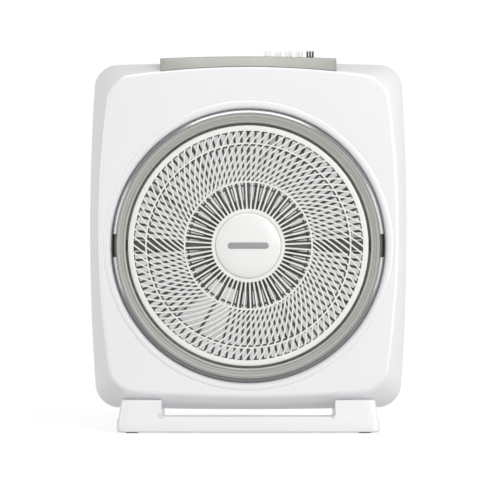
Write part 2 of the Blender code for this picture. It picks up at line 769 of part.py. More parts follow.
def crossbar(reach):
    """Bar from side to side, and the two posts that take the louver motor's screws."""
    bm = bmesh.new()
    low = (-reach, POD_FRONT, -CROSSBAR_HEIGHT / 2)
    add_box(bm, low, (reach, POD_FRONT + CROSSBAR_DEPTH, CROSSBAR_HEIGHT / 2))
    for side in (-1, 1):
        z = side * LOUVER_EAR_PLACE
        end = (0, pod_back() - GAP / 3, z)
        add_cylinder(bm, (0, POD_FRONT + GAP, z), end, LOUVER_POST_RADIUS)
    return bm


def pod_radius():
    return LOUVER_MOTOR_RADIUS + 2 * GAP


def pod_back():
    return LOUVER_MOTOR_BACK - LOUVER_EAR_THICKNESS - GAP


def carrier_holes(outer):
    """Finger notches at the two sides, the pod's hollow and its shaft hole."""
    bm = bmesh.new()
    for side in (-1, 1):
        near, far = side * (outer - NOTCH_DEPTH), side * (outer + NOTCH_DEPTH)
        low = (min(near, far), FRONT_Y - 2 * RING_RISE, -NOTCH_HEIGHT / 2)
        add_box(bm, low, (max(near, far), FRONT_Y + RING_WALL, NOTCH_HEIGHT / 2))
    floor = POD_FRONT + POD_WALL
    back = pod_back() + WALL
    hole = 2 * LOUVER_SHAFT_RADIUS
    profile = [(0, POD_FRONT - WALL), (hole, POD_FRONT - WALL), (hole, floor), (pod_radius(), floor)]
    profile += [(pod_radius(), back), (0, back)]
    merge_into(bm, turned(profile, MOTOR_STEPS))
    for side in (-1, 1):
        z = side * LOUVER_EAR_PLACE
        tip = (0, pod_back() - LOUVER_SCREW_BITE - WALL, z)
        add_cylinder(bm, tip, (0, pod_back() + WALL, z), screw_hole(SMALL_SCREW), 8)
    return bm


# ---- Louver and its motor ----


def rib_corner(radius, angle, half_width, lean=0.0):
    """Point on one side of a rib: half_width is across the rib, which leans from the radius."""
    return polar(radius, angle + asin(half_width / (radius * cos(lean))))


def spiral_angle(radius):
    return OUTER_RIB_START - tan(RIB_LEAN) * log(radius / RIB_START_RADIUS)


def straight_angle(_radius):
    return INNER_RIB_START


def rib_windows(count, inner, outer, angle_at, half_width, lean=0.0):
    """The openings between one ring's ribs, four corners each."""
    windows = []
    for i in range(count):
        first, second = 2 * pi * i / count, 2 * pi * (i + 1) / count
        windows.append(
            [
                rib_corner(inner, first + angle_at(inner), half_width, lean),
                rib_corner(outer, first + angle_at(outer), half_width, lean),
                rib_corner(outer, second + angle_at(outer), -half_width, lean),
                rib_corner(inner, second + angle_at(inner), -half_width, lean),
            ]
        )
    return windows


def build_louver_grille(axis):
    half = RIB_WIDTH / 2
    band = LOUVER_RING_WIDTH / 2
    rim = LOUVER_RADIUS - LOUVER_RIM
    windows = rib_windows(
        INNER_RIBS, LOUVER_HUB_RADIUS, INNER_RING_RADIUS - band, straight_angle, half
    )
    for inner, outer in (
        (INNER_RING_RADIUS + band, MIDDLE_RING_RADIUS - band),
        (MIDDLE_RING_RADIUS + band, rim),
    ):
        windows += rib_windows(OUTER_RIBS, inner, outer, spiral_angle, half, RIB_LEAN)
    windows.append(circle(LOUVER_SHAFT_RADIUS + GAP, 12))
    bm = lattice([circle(LOUVER_RADIUS, RING_STEPS)], windows, LOUVER_FRONT, LOUVER_BACK)
    add_object("louver_grille", bm, LOUVER_PLASTIC, axis)


def build_hub_cap(axis):
    base = LOUVER_FRONT - GAP
    wall = WALL * 0.8
    outside = [(CAP_RADIUS * share, base - CAP_RISE * (1 - share**4)) for share in (0, 0.5, 0.8)]
    outside += [(CAP_RADIUS * 0.95, base - CAP_RISE * 0.38), (CAP_RADIUS, base - CAP_RISE * 0.1)]
    inside = [(CAP_RADIUS * 0.85, base - CAP_RISE + wall + 0.0018), (0, base - CAP_RISE + wall)]
    profile = outside + [(CAP_RADIUS, base), (CAP_RADIUS - wall, base)] + inside
    add_object("hub_cap", turned(profile, 32), LOUVER_PLASTIC, axis)


def build_louver_motor(axis):
    """Flat synchronous motor with two ears, its shaft and its two screws."""
    bore = LOUVER_SHAFT_RADIUS + GAP
    bore_end = LOUVER_MOTOR_FRONT + LOUVER_SHAFT_BITE + RUN
    profile = [
        (0, bore_end),
        (bore, bore_end),
        (bore, LOUVER_MOTOR_FRONT),
        (LOUVER_MOTOR_RADIUS, LOUVER_MOTOR_FRONT),
        (LOUVER_MOTOR_RADIUS, LOUVER_MOTOR_BACK),
        (0, LOUVER_MOTOR_BACK),
    ]
    motor = add_object("louver_motor", turned(profile, MOTOR_STEPS), ZINC_STEEL, axis)
    boolean(motor, "UNION", louver_motor_ears(), "ears")
    boolean(motor, "DIFFERENCE", louver_ear_holes(), "holes")
    shaft = bmesh.new()
    start = (0, LOUVER_FRONT + GAP, 0)
    add_cylinder(shaft, start, (0, LOUVER_MOTOR_FRONT + LOUVER_SHAFT_BITE, 0), LOUVER_SHAFT_RADIUS, 12)
    add_object("louver_shaft", shaft, ZINC_STEEL, axis)
    screws = screw_mesh(SMALL_SCREW, LOUVER_EAR_THICKNESS + LOUVER_SCREW_BITE)
    place = LOUVER_MOTOR_BACK + GAP
    first = add_object(
        "louver_motor_screw_1", screws, ZINC_STEEL, axis, (0, place, LOUVER_EAR_PLACE)
    )
    copy_object(first, "louver_motor_screw_2", (0, place, -LOUVER_EAR_PLACE))


def louver_motor_ears():
    bm = bmesh.new()
    front = LOUVER_MOTOR_BACK - LOUVER_EAR_THICKNESS
    tongue = LOUVER_EAR_RADIUS + LOUVER_EAR_PLACE
    back = LOUVER_MOTOR_BACK - GAP / 3
    for side in (-1, 1):
        near, far = side * LOUVER_MOTOR_RADIUS / 2, side * tongue
        low = (-LOUVER_EAR_RADIUS, front, min(near, far))
        box = add_box(bm, low, (LOUVER_EAR_RADIUS, back, max(near, far)))
        edges = {edge for vert in box for edge in vert.link_edges if runs_along(edge, 1)}
        outer = [edge for edge in edges if abs(edge.verts[0].co.z) > LOUVER_EAR_PLACE]
        bevel_edges(bm, outer, LOUVER_EAR_RADIUS * 0.6, 2)
    return bm


def louver_ear_holes():
    bm = bmesh.new()
    for side in (-1, 1):
        z = side * LOUVER_EAR_PLACE
        front = LOUVER_MOTOR_BACK - 2 * LOUVER_EAR_THICKNESS
        add_cylinder(bm, (0, front, z), (0, LOUVER_MOTOR_BACK + WALL, z), screw_hole(SMALL_SCREW), 8)
    return bm


# ---- Blades ----


def vane_section(radius, middle):
    """Loop around one vane at a radius: a thin cambered strip that pitches along the axis."""
    share = (radius - BLADE_HUB_RADIUS) / (BLADE_RADIUS - BLADE_HUB_RADIUS)
    root_spread, tip_spread = VANE_SPREAD
    tip_round = 1 - max(share - 0.75, 0) * 1.6
    half_angle = (root_spread + (tip_spread - root_spread) * share * tip_round) / 2
    sweep = VANE_SWEEP * share
    pitch = BLADE_WIDTH / 2 * (1 - VANE_PITCH_LOSS * share)
    centre = (HUB_FRONT + HUB_BACK) / 2
    front, back = [], []
    for i in range(VANE_STEPS + 1):
        along = 2 * i / VANE_STEPS - 1
        x, z = polar(radius, middle + sweep + half_angle * along)
        y = centre + pitch * along - VANE_CAMBER * (1 - along * along)
        front.append((x, y - BLADE_THICKNESS / 2, z))
        back.append((x, y + BLADE_THICKNESS / 2, z))
    return front + back[::-1]


def build_fan_blade(axis):
    hub_wall = BLADE_THICKNESS
    boss = SHAFT_BORE + BLADE_BOSS_WALL
    boss_end = HUB_FRONT + 0.7 * BLADE_HUB_LENGTH
    profile = [
        (SHAFT_BORE, HUB_FRONT),
        (BLADE_HUB_RADIUS - hub_wall, HUB_FRONT),
        (BLADE_HUB_RADIUS, HUB_FRONT + hub_wall),
        (BLADE_HUB_RADIUS, HUB_BACK),
        (BLADE_HUB_RADIUS - hub_wall, HUB_BACK),
        (BLADE_HUB_RADIUS - hub_wall, HUB_FRONT + hub_wall),
        (boss, HUB_FRONT + hub_wall),
        (boss, boss_end),
        (SHAFT_BORE, boss_end),
    ]
    hub = add_object("fan_blade", turned(profile, 28), BLADE_PLASTIC, axis)
    vanes = bmesh.new()
    root = BLADE_HUB_RADIUS - hub_wall / 2
    stations = [root] + [root + (BLADE_RADIUS - root) * share for share in (0.3, 0.6, 0.85, 1)]
    for i in range(BLADE_COUNT):
        middle = FIRST_BLADE + 2 * pi * i / BLADE_COUNT
        add_loft(vanes, [vane_section(radius, middle) for radius in stations])
    boolean(hub, "UNION", vanes, "vanes")


def build_blade_nut(axis):
    wall = NUT_RADIUS * 0.25
    back = HUB_FRONT - GAP
    bore_end = SHAFT_FRONT - GAP
    profile = [
        (0, NUT_FRONT),
        (NUT_RADIUS * 0.7, NUT_FRONT),
        (NUT_RADIUS, NUT_FRONT + wall),
        (NUT_RADIUS, back),
        (SHAFT_BORE, back),
        (SHAFT_BORE, bore_end),
        (0, bore_end),
    ]
    add_object("blade_nut", turned(profile, 16), DARK_PLASTIC, axis)


# ---- Main motor ----


def cover_profile(face, inward, open_bore):
    """Cup with a bearing seat; inward is +1 when the cup opens towards +Y."""
    half = (MOTOR_LENGTH - STACK_LENGTH) / 2 - GAP
    seat = BEARING_RADIUS + GAP
    boss = seat + 0.0022
    deep = MOTOR_WALL + BEARING_LENGTH + GAP
    corners = [
        (MOTOR_RADIUS, 0),
        (MOTOR_RADIUS, half),
        (MOTOR_RADIUS - MOTOR_WALL, half),
        (MOTOR_RADIUS - MOTOR_WALL, MOTOR_WALL),
        (boss, MOTOR_WALL),
        (boss, deep),
        (seat, deep),
        (seat, MOTOR_WALL),
    ]
    hole = SHAFT_RADIUS + 2 * RUN
    if open_bore:
        corners += [(hole, MOTOR_WALL), (hole, 0)]
    else:
        corners = [(0, 0)] + corners + [(0, MOTOR_WALL)]
    return [(radius, face + inward * depth) for radius, depth in corners]


def build_motor_covers(axis):
    front = turned(cover_profile(MOTOR_FRONT, 1, True), MOTOR_STEPS)
    add_object("motor_front_cover", front, ZINC_STEEL, axis)
    rear = turned(cover_profile(MOTOR_BACK, -1, False), MOTOR_STEPS)
    cover = add_object("motor_rear_cover", rear, ZINC_STEEL, axis)
    ears, holes = bmesh.new(), bmesh.new()
    ear_front = MOTOR_BACK - MOTOR_EAR_THICKNESS
    for x, z in motor_screw_places():
        add_cylinder(ears, (x, ear_front, z), (x, MOTOR_BACK - GAP / 3, z), MOTOR_EAR_RADIUS)
        start = (x, ear_front - WALL, z)
        add_cylinder(holes, start, (x, MOTOR_BACK + WALL, z), screw_hole(BODY_SCREW), 8)
    boolean(cover, "UNION", ears, "ears")
    boolean(cover, "DIFFERENCE", holes, "holes")


def motor_screw_places():
    return [polar(MOTOR_EAR_CIRCLE, pi / 4 + pi / 2 * i) for i in range(4)]


def tube_profile(inner, outer, start, end):
    return [(inner, start), (outer, start), (outer, end), (inner, end)]


def build_motor_inside(axis):
    middle = (MOTOR_FRONT + MOTOR_BACK) / 2
    stack = STACK_LENGTH / 2
    core = tube_profile(ROTOR_RADIUS + RUN, MOTOR_RADIUS - GAP, middle - stack, middle + stack)
    add_object("stator_core", turned(core, MOTOR_STEPS), CORE_STEEL, axis)
    wound = (ROTOR_RADIUS + 3 * RUN, MOTOR_RADIUS - MOTOR_WALL - 3 * RUN)
    for name, side in (("front_winding", -1), ("rear_winding", 1)):
        near = middle + side * (stack + GAP)
        far = middle + side * (stack + WINDING_LENGTH)
        ring = turned(tube_profile(*wound, min(near, far), max(near, far)), 20)
        add_object(name, ring, COPPER, axis)
    rotor = tube_profile(SHAFT_BORE, ROTOR_RADIUS, middle - stack - RUN, middle + stack + RUN)
    add_object("rotor_core", turned(rotor, 20), CORE_STEEL, axis)
    seats = (MOTOR_FRONT + MOTOR_WALL + GAP, MOTOR_BACK - MOTOR_WALL - BEARING_LENGTH)
    for name, start in zip(("front_bearing", "rear_bearing"), seats):
        ring = tube_profile(SHAFT_BORE, BEARING_RADIUS, start, start + BEARING_LENGTH - GAP)
        add_object(name, turned(ring, 16), CORE_STEEL, axis)
    shaft = bmesh.new()
    end = (0, MOTOR_BACK - MOTOR_WALL - RUN, 0)
    add_cylinder(shaft, (0, SHAFT_FRONT, 0), end, SHAFT_RADIUS, 12)
    add_object("motor_shaft", shaft, ZINC_STEEL, axis)


# ---- Rear guard ----


def build_rear_guard(axis):
    """Flat guard of straight ribs; its middle plate carries the motor."""
    half = GUARD_RIB_WIDTH / 2
    band = GUARD_RING_WIDTH / 2
    plate, rim = GUARD_PLATE_RADIUS, GUARD_RIM_RADIUS
    inner_ring, outer_ring = (plate + share * (rim - plate) for share in GUARD_RING_SHARES)
    zones = (
        (GUARD_RIBS // 2, plate, inner_ring - band),
        (GUARD_RIBS, inner_ring + band, outer_ring - band),
        (GUARD_RIBS, outer_ring + band, rim),
    )
    windows = []
    for count, inner, outer in zones:
        for window in rib_windows(count, inner, outer, lambda _radius: 0.0, half):
            x = sum(corner[0] for corner in window)
            z = sum(corner[1] for corner in window)
            behind_label = LABEL_PANEL[0] < atan2(z, x) % (2 * pi) < LABEL_PANEL[1]
            if not behind_label or inner > outer_ring:
                windows.append(window)
    windows += [circle(screw_hole(BODY_SCREW), 8, place) for place in motor_screw_places()]
    outline = circle(GUARD_SEAT_RADIUS - RUN, RING_STEPS)
    bm = lattice([outline], windows, GUARD_FRONT, GUARD_FRONT + GUARD_THICKNESS)
    add_object("rear_guard", bm, GREY_PLASTIC, axis)


def build_motor_screws(axis):
    seat = GUARD_FRONT + GUARD_THICKNESS + GAP
    length = GUARD_THICKNESS + 2 * GAP + MOTOR_EAR_THICKNESS
    places = [(x, seat, z) for x, z in motor_screw_places()]
    first = add_object("motor_screw_1", screw_mesh(BODY_SCREW, length), ZINC_STEEL, axis, places[0])
    for i, place in enumerate(places[1:], start=2):
        copy_object(first, f"motor_screw_{i}", place)


# ---- Control panel, switch and buttons ----


def panel_top(x):
    return PANEL_TOP - PANEL_ARCH * x * x / 2


def panel_section(x):
    """Loop around the panel at x; its underside follows the top of the front shell."""
    front, back = (FRONT_Y + inset for inset in PANEL_INSETS)
    levels = [y for y in front_levels()[:-1] if front < y < back]
    under = [(x, y, body_top(x, y) + PANEL_FIT) for y in [back, *levels, front]]
    top = panel_top(x)
    return under + [(x, front + PANEL_FRONT_SLOPE, top), (x, back - PANEL_FRONT_SLOPE / 2, top)]


def build_top_panel(axis):
    half = PANEL_LENGTH / 2
    steps = 12
    stations = [-half + PANEL_LENGTH * i / steps for i in range(steps + 1)]
    panel = add_object("top_panel", loft([panel_section(x) for x in stations]), GREY_PLASTIC, axis)
    well = bmesh.new()
    low = (SWITCH_ENDS[0], SWITCH_SIDES[0], SWITCH_TOP + GAP)
    add_box(well, low, (SWITCH_ENDS[1], SWITCH_SIDES[1], PANEL_TOP - 2 * PANEL_WALL))
    boolean(panel, "UNION", well, "well")
    slots = bmesh.new()
    width, length = BUTTON_WIDTH / 2 + RUN, BUTTON_LENGTH / 2 + RUN
    for x in BUTTON_XS:
        low = (x - width, BUTTON_Y - length, SWITCH_TOP - WALL)
        add_box(slots, low, (x + width, BUTTON_Y + length, PANEL_TOP + WALL))
    for x in switch_screw_xs():
        tip = (x, BUTTON_Y, SWITCH_TOP + SWITCH_SCREW_BITE + GAP)
        add_cylinder(slots, (x, BUTTON_Y, SWITCH_TOP - WALL), tip, screw_hole(SMALL_SCREW), 8)
    boolean(panel, "DIFFERENCE", slots, "slots")


def switch_screw_xs():
    inset = SMALL_SCREW[1] + RUN
    return SWITCH_ENDS[0] + inset, SWITCH_ENDS[1] - inset


def build_switch_block(axis):
    """Latching switch that the buttons' stems press, hung under the panel's well."""
    bottom = SWITCH_TOP - SWITCH_HEIGHT
    block = bmesh.new()
    low = (SWITCH_ENDS[0], SWITCH_SIDES[0], bottom)
    add_box(block, low, (SWITCH_ENDS[1], SWITCH_SIDES[1], SWITCH_TOP))
    obj = add_object("switch_block", block, DARK_PLASTIC, axis)
    cuts = bmesh.new()
    width, length = STEM_WIDTH / 2 + RUN, STEM_LENGTH / 2 + RUN
    for x in BUTTON_XS:
        low = (x - width, BUTTON_Y - length, bottom + SWITCH_FLOOR)
        add_box(cuts, low, (x + width, BUTTON_Y + length, SWITCH_TOP + WALL))
    for x in switch_screw_xs():
        start = (x, BUTTON_Y, bottom - WALL)
        add_cylinder(cuts, start, (x, BUTTON_Y, SWITCH_TOP + WALL), screw_hole(SMALL_SCREW), 8)
    boolean(obj, "DIFFERENCE", cuts, "sockets")
    length = SWITCH_HEIGHT + SWITCH_SCREW_BITE
    for i, x in enumerate(switch_screw_xs(), start=1):
        place = (x, BUTTON_Y, bottom - GAP)
        standing_screw(f"switch_screw_{i}", SMALL_SCREW, length, place, axis)


def button_mesh():
    """Key cap with an eased top and a narrower stem, counted from the panel's crown."""
    bm = bmesh.new()
    half_width, half_length = BUTTON_WIDTH / 2, BUTTON_LENGTH / 2
    shoulder = -(PANEL_TOP - SWITCH_TOP) + BUTTON_TRAVEL + RUN + GAP
    cap = add_box(bm, (-half_width, -half_length, shoulder), (half_width, half_length, BUTTON_RISE))
    top = {edge for vert in cap for edge in vert.link_edges if min(v.co.z for v in edge.verts) > 0}
    bevel_edges(bm, list(top), 0.0010, 1)
    foot = min((face for face in bm.faces), key=lambda face: face.calc_center_median().z)
    bmesh.ops.inset_region(bm, faces=[foot], thickness=(BUTTON_WIDTH - STEM_WIDTH) / 2)
    reach_x, reach_y = (max(vert.co[i] for vert in foot.verts) for i in (0, 1))
    to_stem = (STEM_WIDTH / 2 / reach_x, STEM_LENGTH / 2 / reach_y, 1)
    bmesh.ops.scale(bm, verts=foot.verts, vec=to_stem)
    stem = bmesh.ops.extrude_discrete_faces(bm, faces=[foot])["faces"][0]
    stem_end = SWITCH_TOP - PANEL_TOP - STEM_BITE
    bmesh.ops.translate(bm, verts=stem.verts, vec=(0, 0, stem_end - shoulder))
    return bm


def build_buttons(axis):
    first = None
    for i, x in enumerate(BUTTON_XS, start=1):
        place = (x, BUTTON_Y, PANEL_TOP)
        if i == BUTTON_COUNT:
            add_object(f"button_{i}", button_mesh(), DARK_PLASTIC, axis, place)
        elif first is None:
            first = add_object(f"button_{i}", button_mesh(), WHITE_PLASTIC, axis, place)
        else:
            copy_object(first, f"button_{i}", place)


def capacitor_left():
    return SWITCH_ENDS[0] - 4 * WELL_FIT - CAPACITOR_SIZE[0]


def capacitor_screw_place():
    return capacitor_left() - CAPACITOR_EAR / 2, BUTTON_Y


def capacitor_ear_top():
    return SWITCH_TOP - SWITCH_HEIGHT / 2


def build_capacitor(axis):
    """Run capacitor beside the switch, screwed up into a post of the front shell."""
    left = capacitor_left()
    length, width, height = CAPACITOR_SIZE
    top = capacitor_ear_top()
    block = bmesh.new()
    low = (left, BUTTON_Y - width / 2, top - height)
    add_box(block, low, (left + length, BUTTON_Y + width / 2, top))
    obj = add_object("run_capacitor", block, DARK_PLASTIC, axis)
    ear, hole = bmesh.new(), bmesh.new()
    x, y = capacitor_screw_place()
    half = CAPACITOR_EAR / 2
    low = (left - CAPACITOR_EAR, y - half, top - CAPACITOR_EAR_THICKNESS)
    add_box(ear, low, (left + WALL, y + half, top - GAP / 3))
    start = (x, y, top - 2 * CAPACITOR_EAR_THICKNESS)
    add_cylinder(hole, start, (x, y, top + WALL), screw_hole(SMALL_SCREW), 8)
    boolean(obj, "UNION", ear, "ear")
    boolean(obj, "DIFFERENCE", hole, "hole")
    length = CAPACITOR_EAR_THICKNESS + CAPACITOR_SCREW_BITE
    place = (x, y, top - CAPACITOR_EAR_THICKNESS - GAP)
    standing_screw("capacitor_screw", SMALL_SCREW, length, place, axis)


# ---- Stand ----

STAND_OUTLINE = Outline(
    STAND_WIDTH / 2, STAND_DEPTH / 2, STAND_DEPTH / 2, STAND_CORNER, 0.0, STAND_BOW, STAND_BOW, 0.0
)
STAND_ANGLES = outline_angles(STAND_OUTLINE)


def stand_loop(z, inset):
    points = [polar(outline_radius(STAND_OUTLINE, angle, inset), angle) for angle in STAND_ANGLES]
    return [(x, y, z) for x, y in points]


def stand_gap():
    """Cut that leaves two uprights, with eased lower corners."""
    bm = bmesh.new()
    half = STAND_GAP_WIDTH / 2
    low = (-half, -STAND_DEPTH, STAND_BRIDGE_HEIGHT)
    box = add_box(bm, low, (half, STAND_DEPTH, 2 * STAND_HEIGHT))
    edges = {edge for vert in box for edge in vert.link_edges if runs_along(edge, 1)}
    lower = [edge for edge in edges if edge.verts[0].co.z < STAND_HEIGHT]
    bevel_edges(bm, lower, STAND_GAP_CORNER, 3)
    return bm


def stand_bay():
    """Open bay behind the bridge, between the two uprights."""
    bm = bmesh.new()
    half = STAND_GAP_WIDTH / 2
    low = (-half, STAND_BRIDGE_DEPTH - STAND_DEPTH / 2, -STAND_WALL)
    add_box(bm, low, (half, STAND_DEPTH, STAND_BRIDGE_HEIGHT + 2 * STAND_GAP_CORNER))
    return bm


def body_form():
    """The body's outside, grown by the fit, to cut its seat in the stand."""
    fit = -SEAT_FIT
    levels = sorted(front_levels() + rear_levels() + [JOINT_Y])
    loops = [body_loop(FRONT_Y, FACE_EDGE + fit, FRONT_Y + fit)]
    loops += [body_loop(y, fit) for y in levels]
    loops.append(body_loop(REAR_Y, FACE_EDGE + fit, REAR_Y - fit))
    bm = loft(loops)
    bmesh.ops.translate(bm, verts=bm.verts, vec=(0, 0, AXIS_HEIGHT))
    return bm


def stand_hollows():
    """Pockets, screw holes and foot sockets, all cut from below."""
    bm = bmesh.new()
    below = -STAND_WALL
    half = STAND_GAP_WIDTH / 2 - 2 * STAND_WALL
    front = 2 * STAND_WALL - STAND_DEPTH / 2
    back = STAND_BRIDGE_DEPTH - STAND_WALL - STAND_DEPTH / 2
    add_box(bm, (-half, front, below), (half, back, STAND_BRIDGE_HEIGHT - STAND_WALL))
    inner = STAND_GAP_WIDTH / 2 + STAND_WALL
    outer = STAND_WIDTH / 2 - STAND_DRAFT - 1.5 * STAND_WALL
    roof = STAND_BRIDGE_HEIGHT - STAND_WALL / 2
    column = BODY_SCREW[1] + 2 * STAND_WALL
    limit = STAND_DEPTH / 2 - FOOT_INSET[1] - FOOT_RADIUS - STAND_WALL
    front, rear = STAND_SCREW_Y
    for side in (-1, 1):
        low_x, high_x = sorted((side * inner, side * outer))
        starts = (-limit, front + column, rear + column)
        ends = (front - column, rear - column, limit)
        for start, end in zip(starts, ends):
            add_box(bm, (low_x, start, below), (high_x, end, roof))
        for y in STAND_SCREW_Y:
            add_stand_screw_hole(bm, side * STAND_SCREW_X, y)
        for y in foot_ys():
            start = (side * foot_x(), y, below)
            add_cylinder(bm, start, (side * foot_x(), y, FOOT_HEIGHT + GAP), FOOT_RADIUS + GAP, 16)
    return bm


def add_stand_screw_hole(bm, x, y):
    hole = screw_hole(BODY_SCREW)
    sink = BODY_SCREW[1] + 2 * GAP
    start, step, end = -STAND_WALL, STAND_SCREW_SINK, STAND_HEIGHT
    profile = [(0, start), (sink, start), (sink, step), (hole, step), (hole, end), (0, end)]
    tool = turned(profile, ROD_STEPS)
    bmesh.ops.rotate(tool, verts=tool.verts, matrix=Matrix.Rotation(pi / 2, 3, "X"))
    bmesh.ops.translate(tool, verts=tool.verts, vec=(x, y, 0))
    merge_into(bm, tool)


def foot_x():
    return STAND_WIDTH / 2 - FOOT_INSET[0]


def foot_ys():
    y = STAND_DEPTH / 2 - FOOT_INSET[1]
    return -y, y


def build_stand():
    base = FOOT_HEIGHT - FOOT_SINK
    top_inset = PLINTH_STEP + STAND_DRAFT
    edge = FACE_EDGE / 2
    loops = [
        stand_loop(base, 0),
        stand_loop(PLINTH_HEIGHT - PLINTH_STEP, 0),
        stand_loop(PLINTH_HEIGHT, PLINTH_STEP),
        stand_loop(STAND_HEIGHT - edge, top_inset - edge / 2),
        stand_loop(STAND_HEIGHT, top_inset + edge),
    ]
    stand = add_object("stand", loft(loops), WHITE_PLASTIC)
    boolean(stand, "DIFFERENCE", stand_gap(), "gap")
    boolean(stand, "DIFFERENCE", stand_bay(), "bay")
    boolean(stand, "DIFFERENCE", body_form(), "body_seat")
    boolean(stand, "DIFFERENCE", stand_hollows(), "hollows")


def build_feet():
    names = ("foot_front_left", "foot_front_right", "foot_rear_left", "foot_rear_right")
    places = [(side * foot_x(), y) for y in foot_ys() for side in (-1, 1)]
    for name, (x, y) in zip(names, places):
        bm = bmesh.new()
        add_cylinder(bm, (0, 0, 0), (0, 0, FOOT_HEIGHT), FOOT_RADIUS, 16)
        add_object(name, bm, BLACK_RUBBER, None, (x, y, 0))


def build_stand_screws():
    """Driven up through the stand into the bottom of each shell."""
    seat = STAND_SCREW_SINK - GAP
    number = 1
    for y in STAND_SCREW_Y:
        length = AXIS_HEIGHT + body_underside(STAND_SCREW_X, y) + STAND_SCREW_BITE - seat
        for side in (-1, 1):
            place = (side * STAND_SCREW_X, y, seat)
            standing_screw(f"stand_screw_{number}", BODY_SCREW, length, place)
            number += 1


def main():
    clear_scene()
    axis = empty("fan_axis", (0, 0, AXIS_HEIGHT))
    build_front_shell(axis)
    build_rear_shell(axis)
    build_shell_screws(axis)
    build_cord_inlet(axis)
    build_louver_carrier(axis)
    build_louver_grille(axis)
    build_hub_cap(axis)
    build_louver_motor(axis)
    build_fan_blade(axis)
    build_blade_nut(axis)
    build_motor_covers(axis)
    build_motor_inside(axis)
    build_rear_guard(axis)
    build_motor_screws(axis)
    build_top_panel(axis)
    build_switch_block(axis)
    build_buttons(axis)
    build_capacitor(axis)
    build_stand()
    build_feet()
    build_stand_screws()


main()
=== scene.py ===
# %% [markdown]
# # A box fan, finished around its engineering model
#
# The engineering model is a set of plain solids, each with the right size, place and joint. Where
# a solid is too coarse, such as a louver's rib, we model a fine piece in its place. Where it is
# already right, such as a screw, it only gets a better finish. All is in metres in the model's
# frame: the floor is z = 0, the fan's axis runs along Y and air leaves towards -Y.

# %% Load the engineering model
import json
from collections import namedtuple
from math import atan2, cos, hypot, log, pi, radians, sin, sqrt, tan

import bmesh
import bpy
from mathutils import Matrix, Vector


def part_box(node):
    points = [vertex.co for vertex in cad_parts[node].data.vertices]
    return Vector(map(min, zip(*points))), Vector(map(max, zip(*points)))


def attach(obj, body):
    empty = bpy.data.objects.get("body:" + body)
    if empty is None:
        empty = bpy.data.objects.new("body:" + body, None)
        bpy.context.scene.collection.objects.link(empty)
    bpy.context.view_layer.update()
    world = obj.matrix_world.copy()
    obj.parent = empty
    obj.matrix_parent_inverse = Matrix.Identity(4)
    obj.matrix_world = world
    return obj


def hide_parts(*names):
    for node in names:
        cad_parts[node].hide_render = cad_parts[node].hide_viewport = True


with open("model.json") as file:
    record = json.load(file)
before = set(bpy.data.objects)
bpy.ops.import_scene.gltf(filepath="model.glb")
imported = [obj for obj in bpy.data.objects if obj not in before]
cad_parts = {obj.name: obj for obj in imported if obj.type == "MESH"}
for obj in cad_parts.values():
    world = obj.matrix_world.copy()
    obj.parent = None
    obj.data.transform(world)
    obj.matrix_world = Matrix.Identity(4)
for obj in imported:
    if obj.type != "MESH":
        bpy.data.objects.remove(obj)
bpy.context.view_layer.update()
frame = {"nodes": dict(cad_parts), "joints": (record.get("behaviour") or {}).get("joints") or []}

# %% [markdown]
# ## Where things are
#
# Every place comes from the loaded model, so a fine piece can't drift from the part it replaces.

# %% Places read from the model
blade_joint = next(joint for joint in frame["joints"] if joint["name"] == "blade_spin")
AXIS = Vector(blade_joint["pos_m"])


def low(node):
    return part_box(node)[0]


def high(node):
    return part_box(node)[1]


FACE_Y = low("front_shell").y
JOINT_Y = (high("front_shell").y + low("rear_shell").y) / 2
BACK_Y = high("rear_shell").y
LOUVER_FRONT, LOUVER_BACK = low("louver_grille").y, high("louver_grille").y
LOUVER_RADIUS = high("louver_grille").x


def middle(node):
    return (low(node) + high(node)) / 2


print("axis", AXIS, "front face", FACE_Y, "joint", JOINT_Y, "back", BACK_Y)

# %% [markdown]
# ## Shader sums
#
# A finish is easier to read as a sum than as a drawing of nodes. `Value` wraps one output of a
# node, and each operator adds the Math node that it stands for.

# %% A value in a sum
def math_node(operation):
    """A method that puts its value and its terms, if any, through one Math node."""
    def method(self, *terms):
        inputs = dict(enumerate((self, *terms)))
        return self.finish.value("ShaderNodeMath", {"operation": operation}, inputs)

    return method


class Value:
    """One output of a node; operators on it add Math nodes."""

    def __init__(self, finish, socket):
        self.finish = finish
        self.socket = socket

    __add__ = __radd__ = math_node("ADD")
    __sub__ = math_node("SUBTRACT")
    __mul__ = __rmul__ = math_node("MULTIPLY")
    __lt__ = math_node("LESS_THAN")
    __pow__ = math_node("POWER")
    __abs__ = math_node("ABSOLUTE")
    at_least = math_node("MAXIMUM")
    at_most = math_node("MINIMUM")
    sine = math_node("SINE")

    def __rsub__(self, other):
        return self * -1.0 + other

    def clamped(self):
        return self.at_least(0.0).at_most(1.0)


# %% [markdown]
# `Finish` is one material. Fixed values sit on the shader's own sockets, and only Base Color,
# Roughness and Normal vary. `add` is the one place that makes nodes: it takes a node's type, its
# settings, which are set first, and the values or links of its sockets. Patterns read Object
# coordinates, so they have a real size in metres and stay on a piece when it moves.

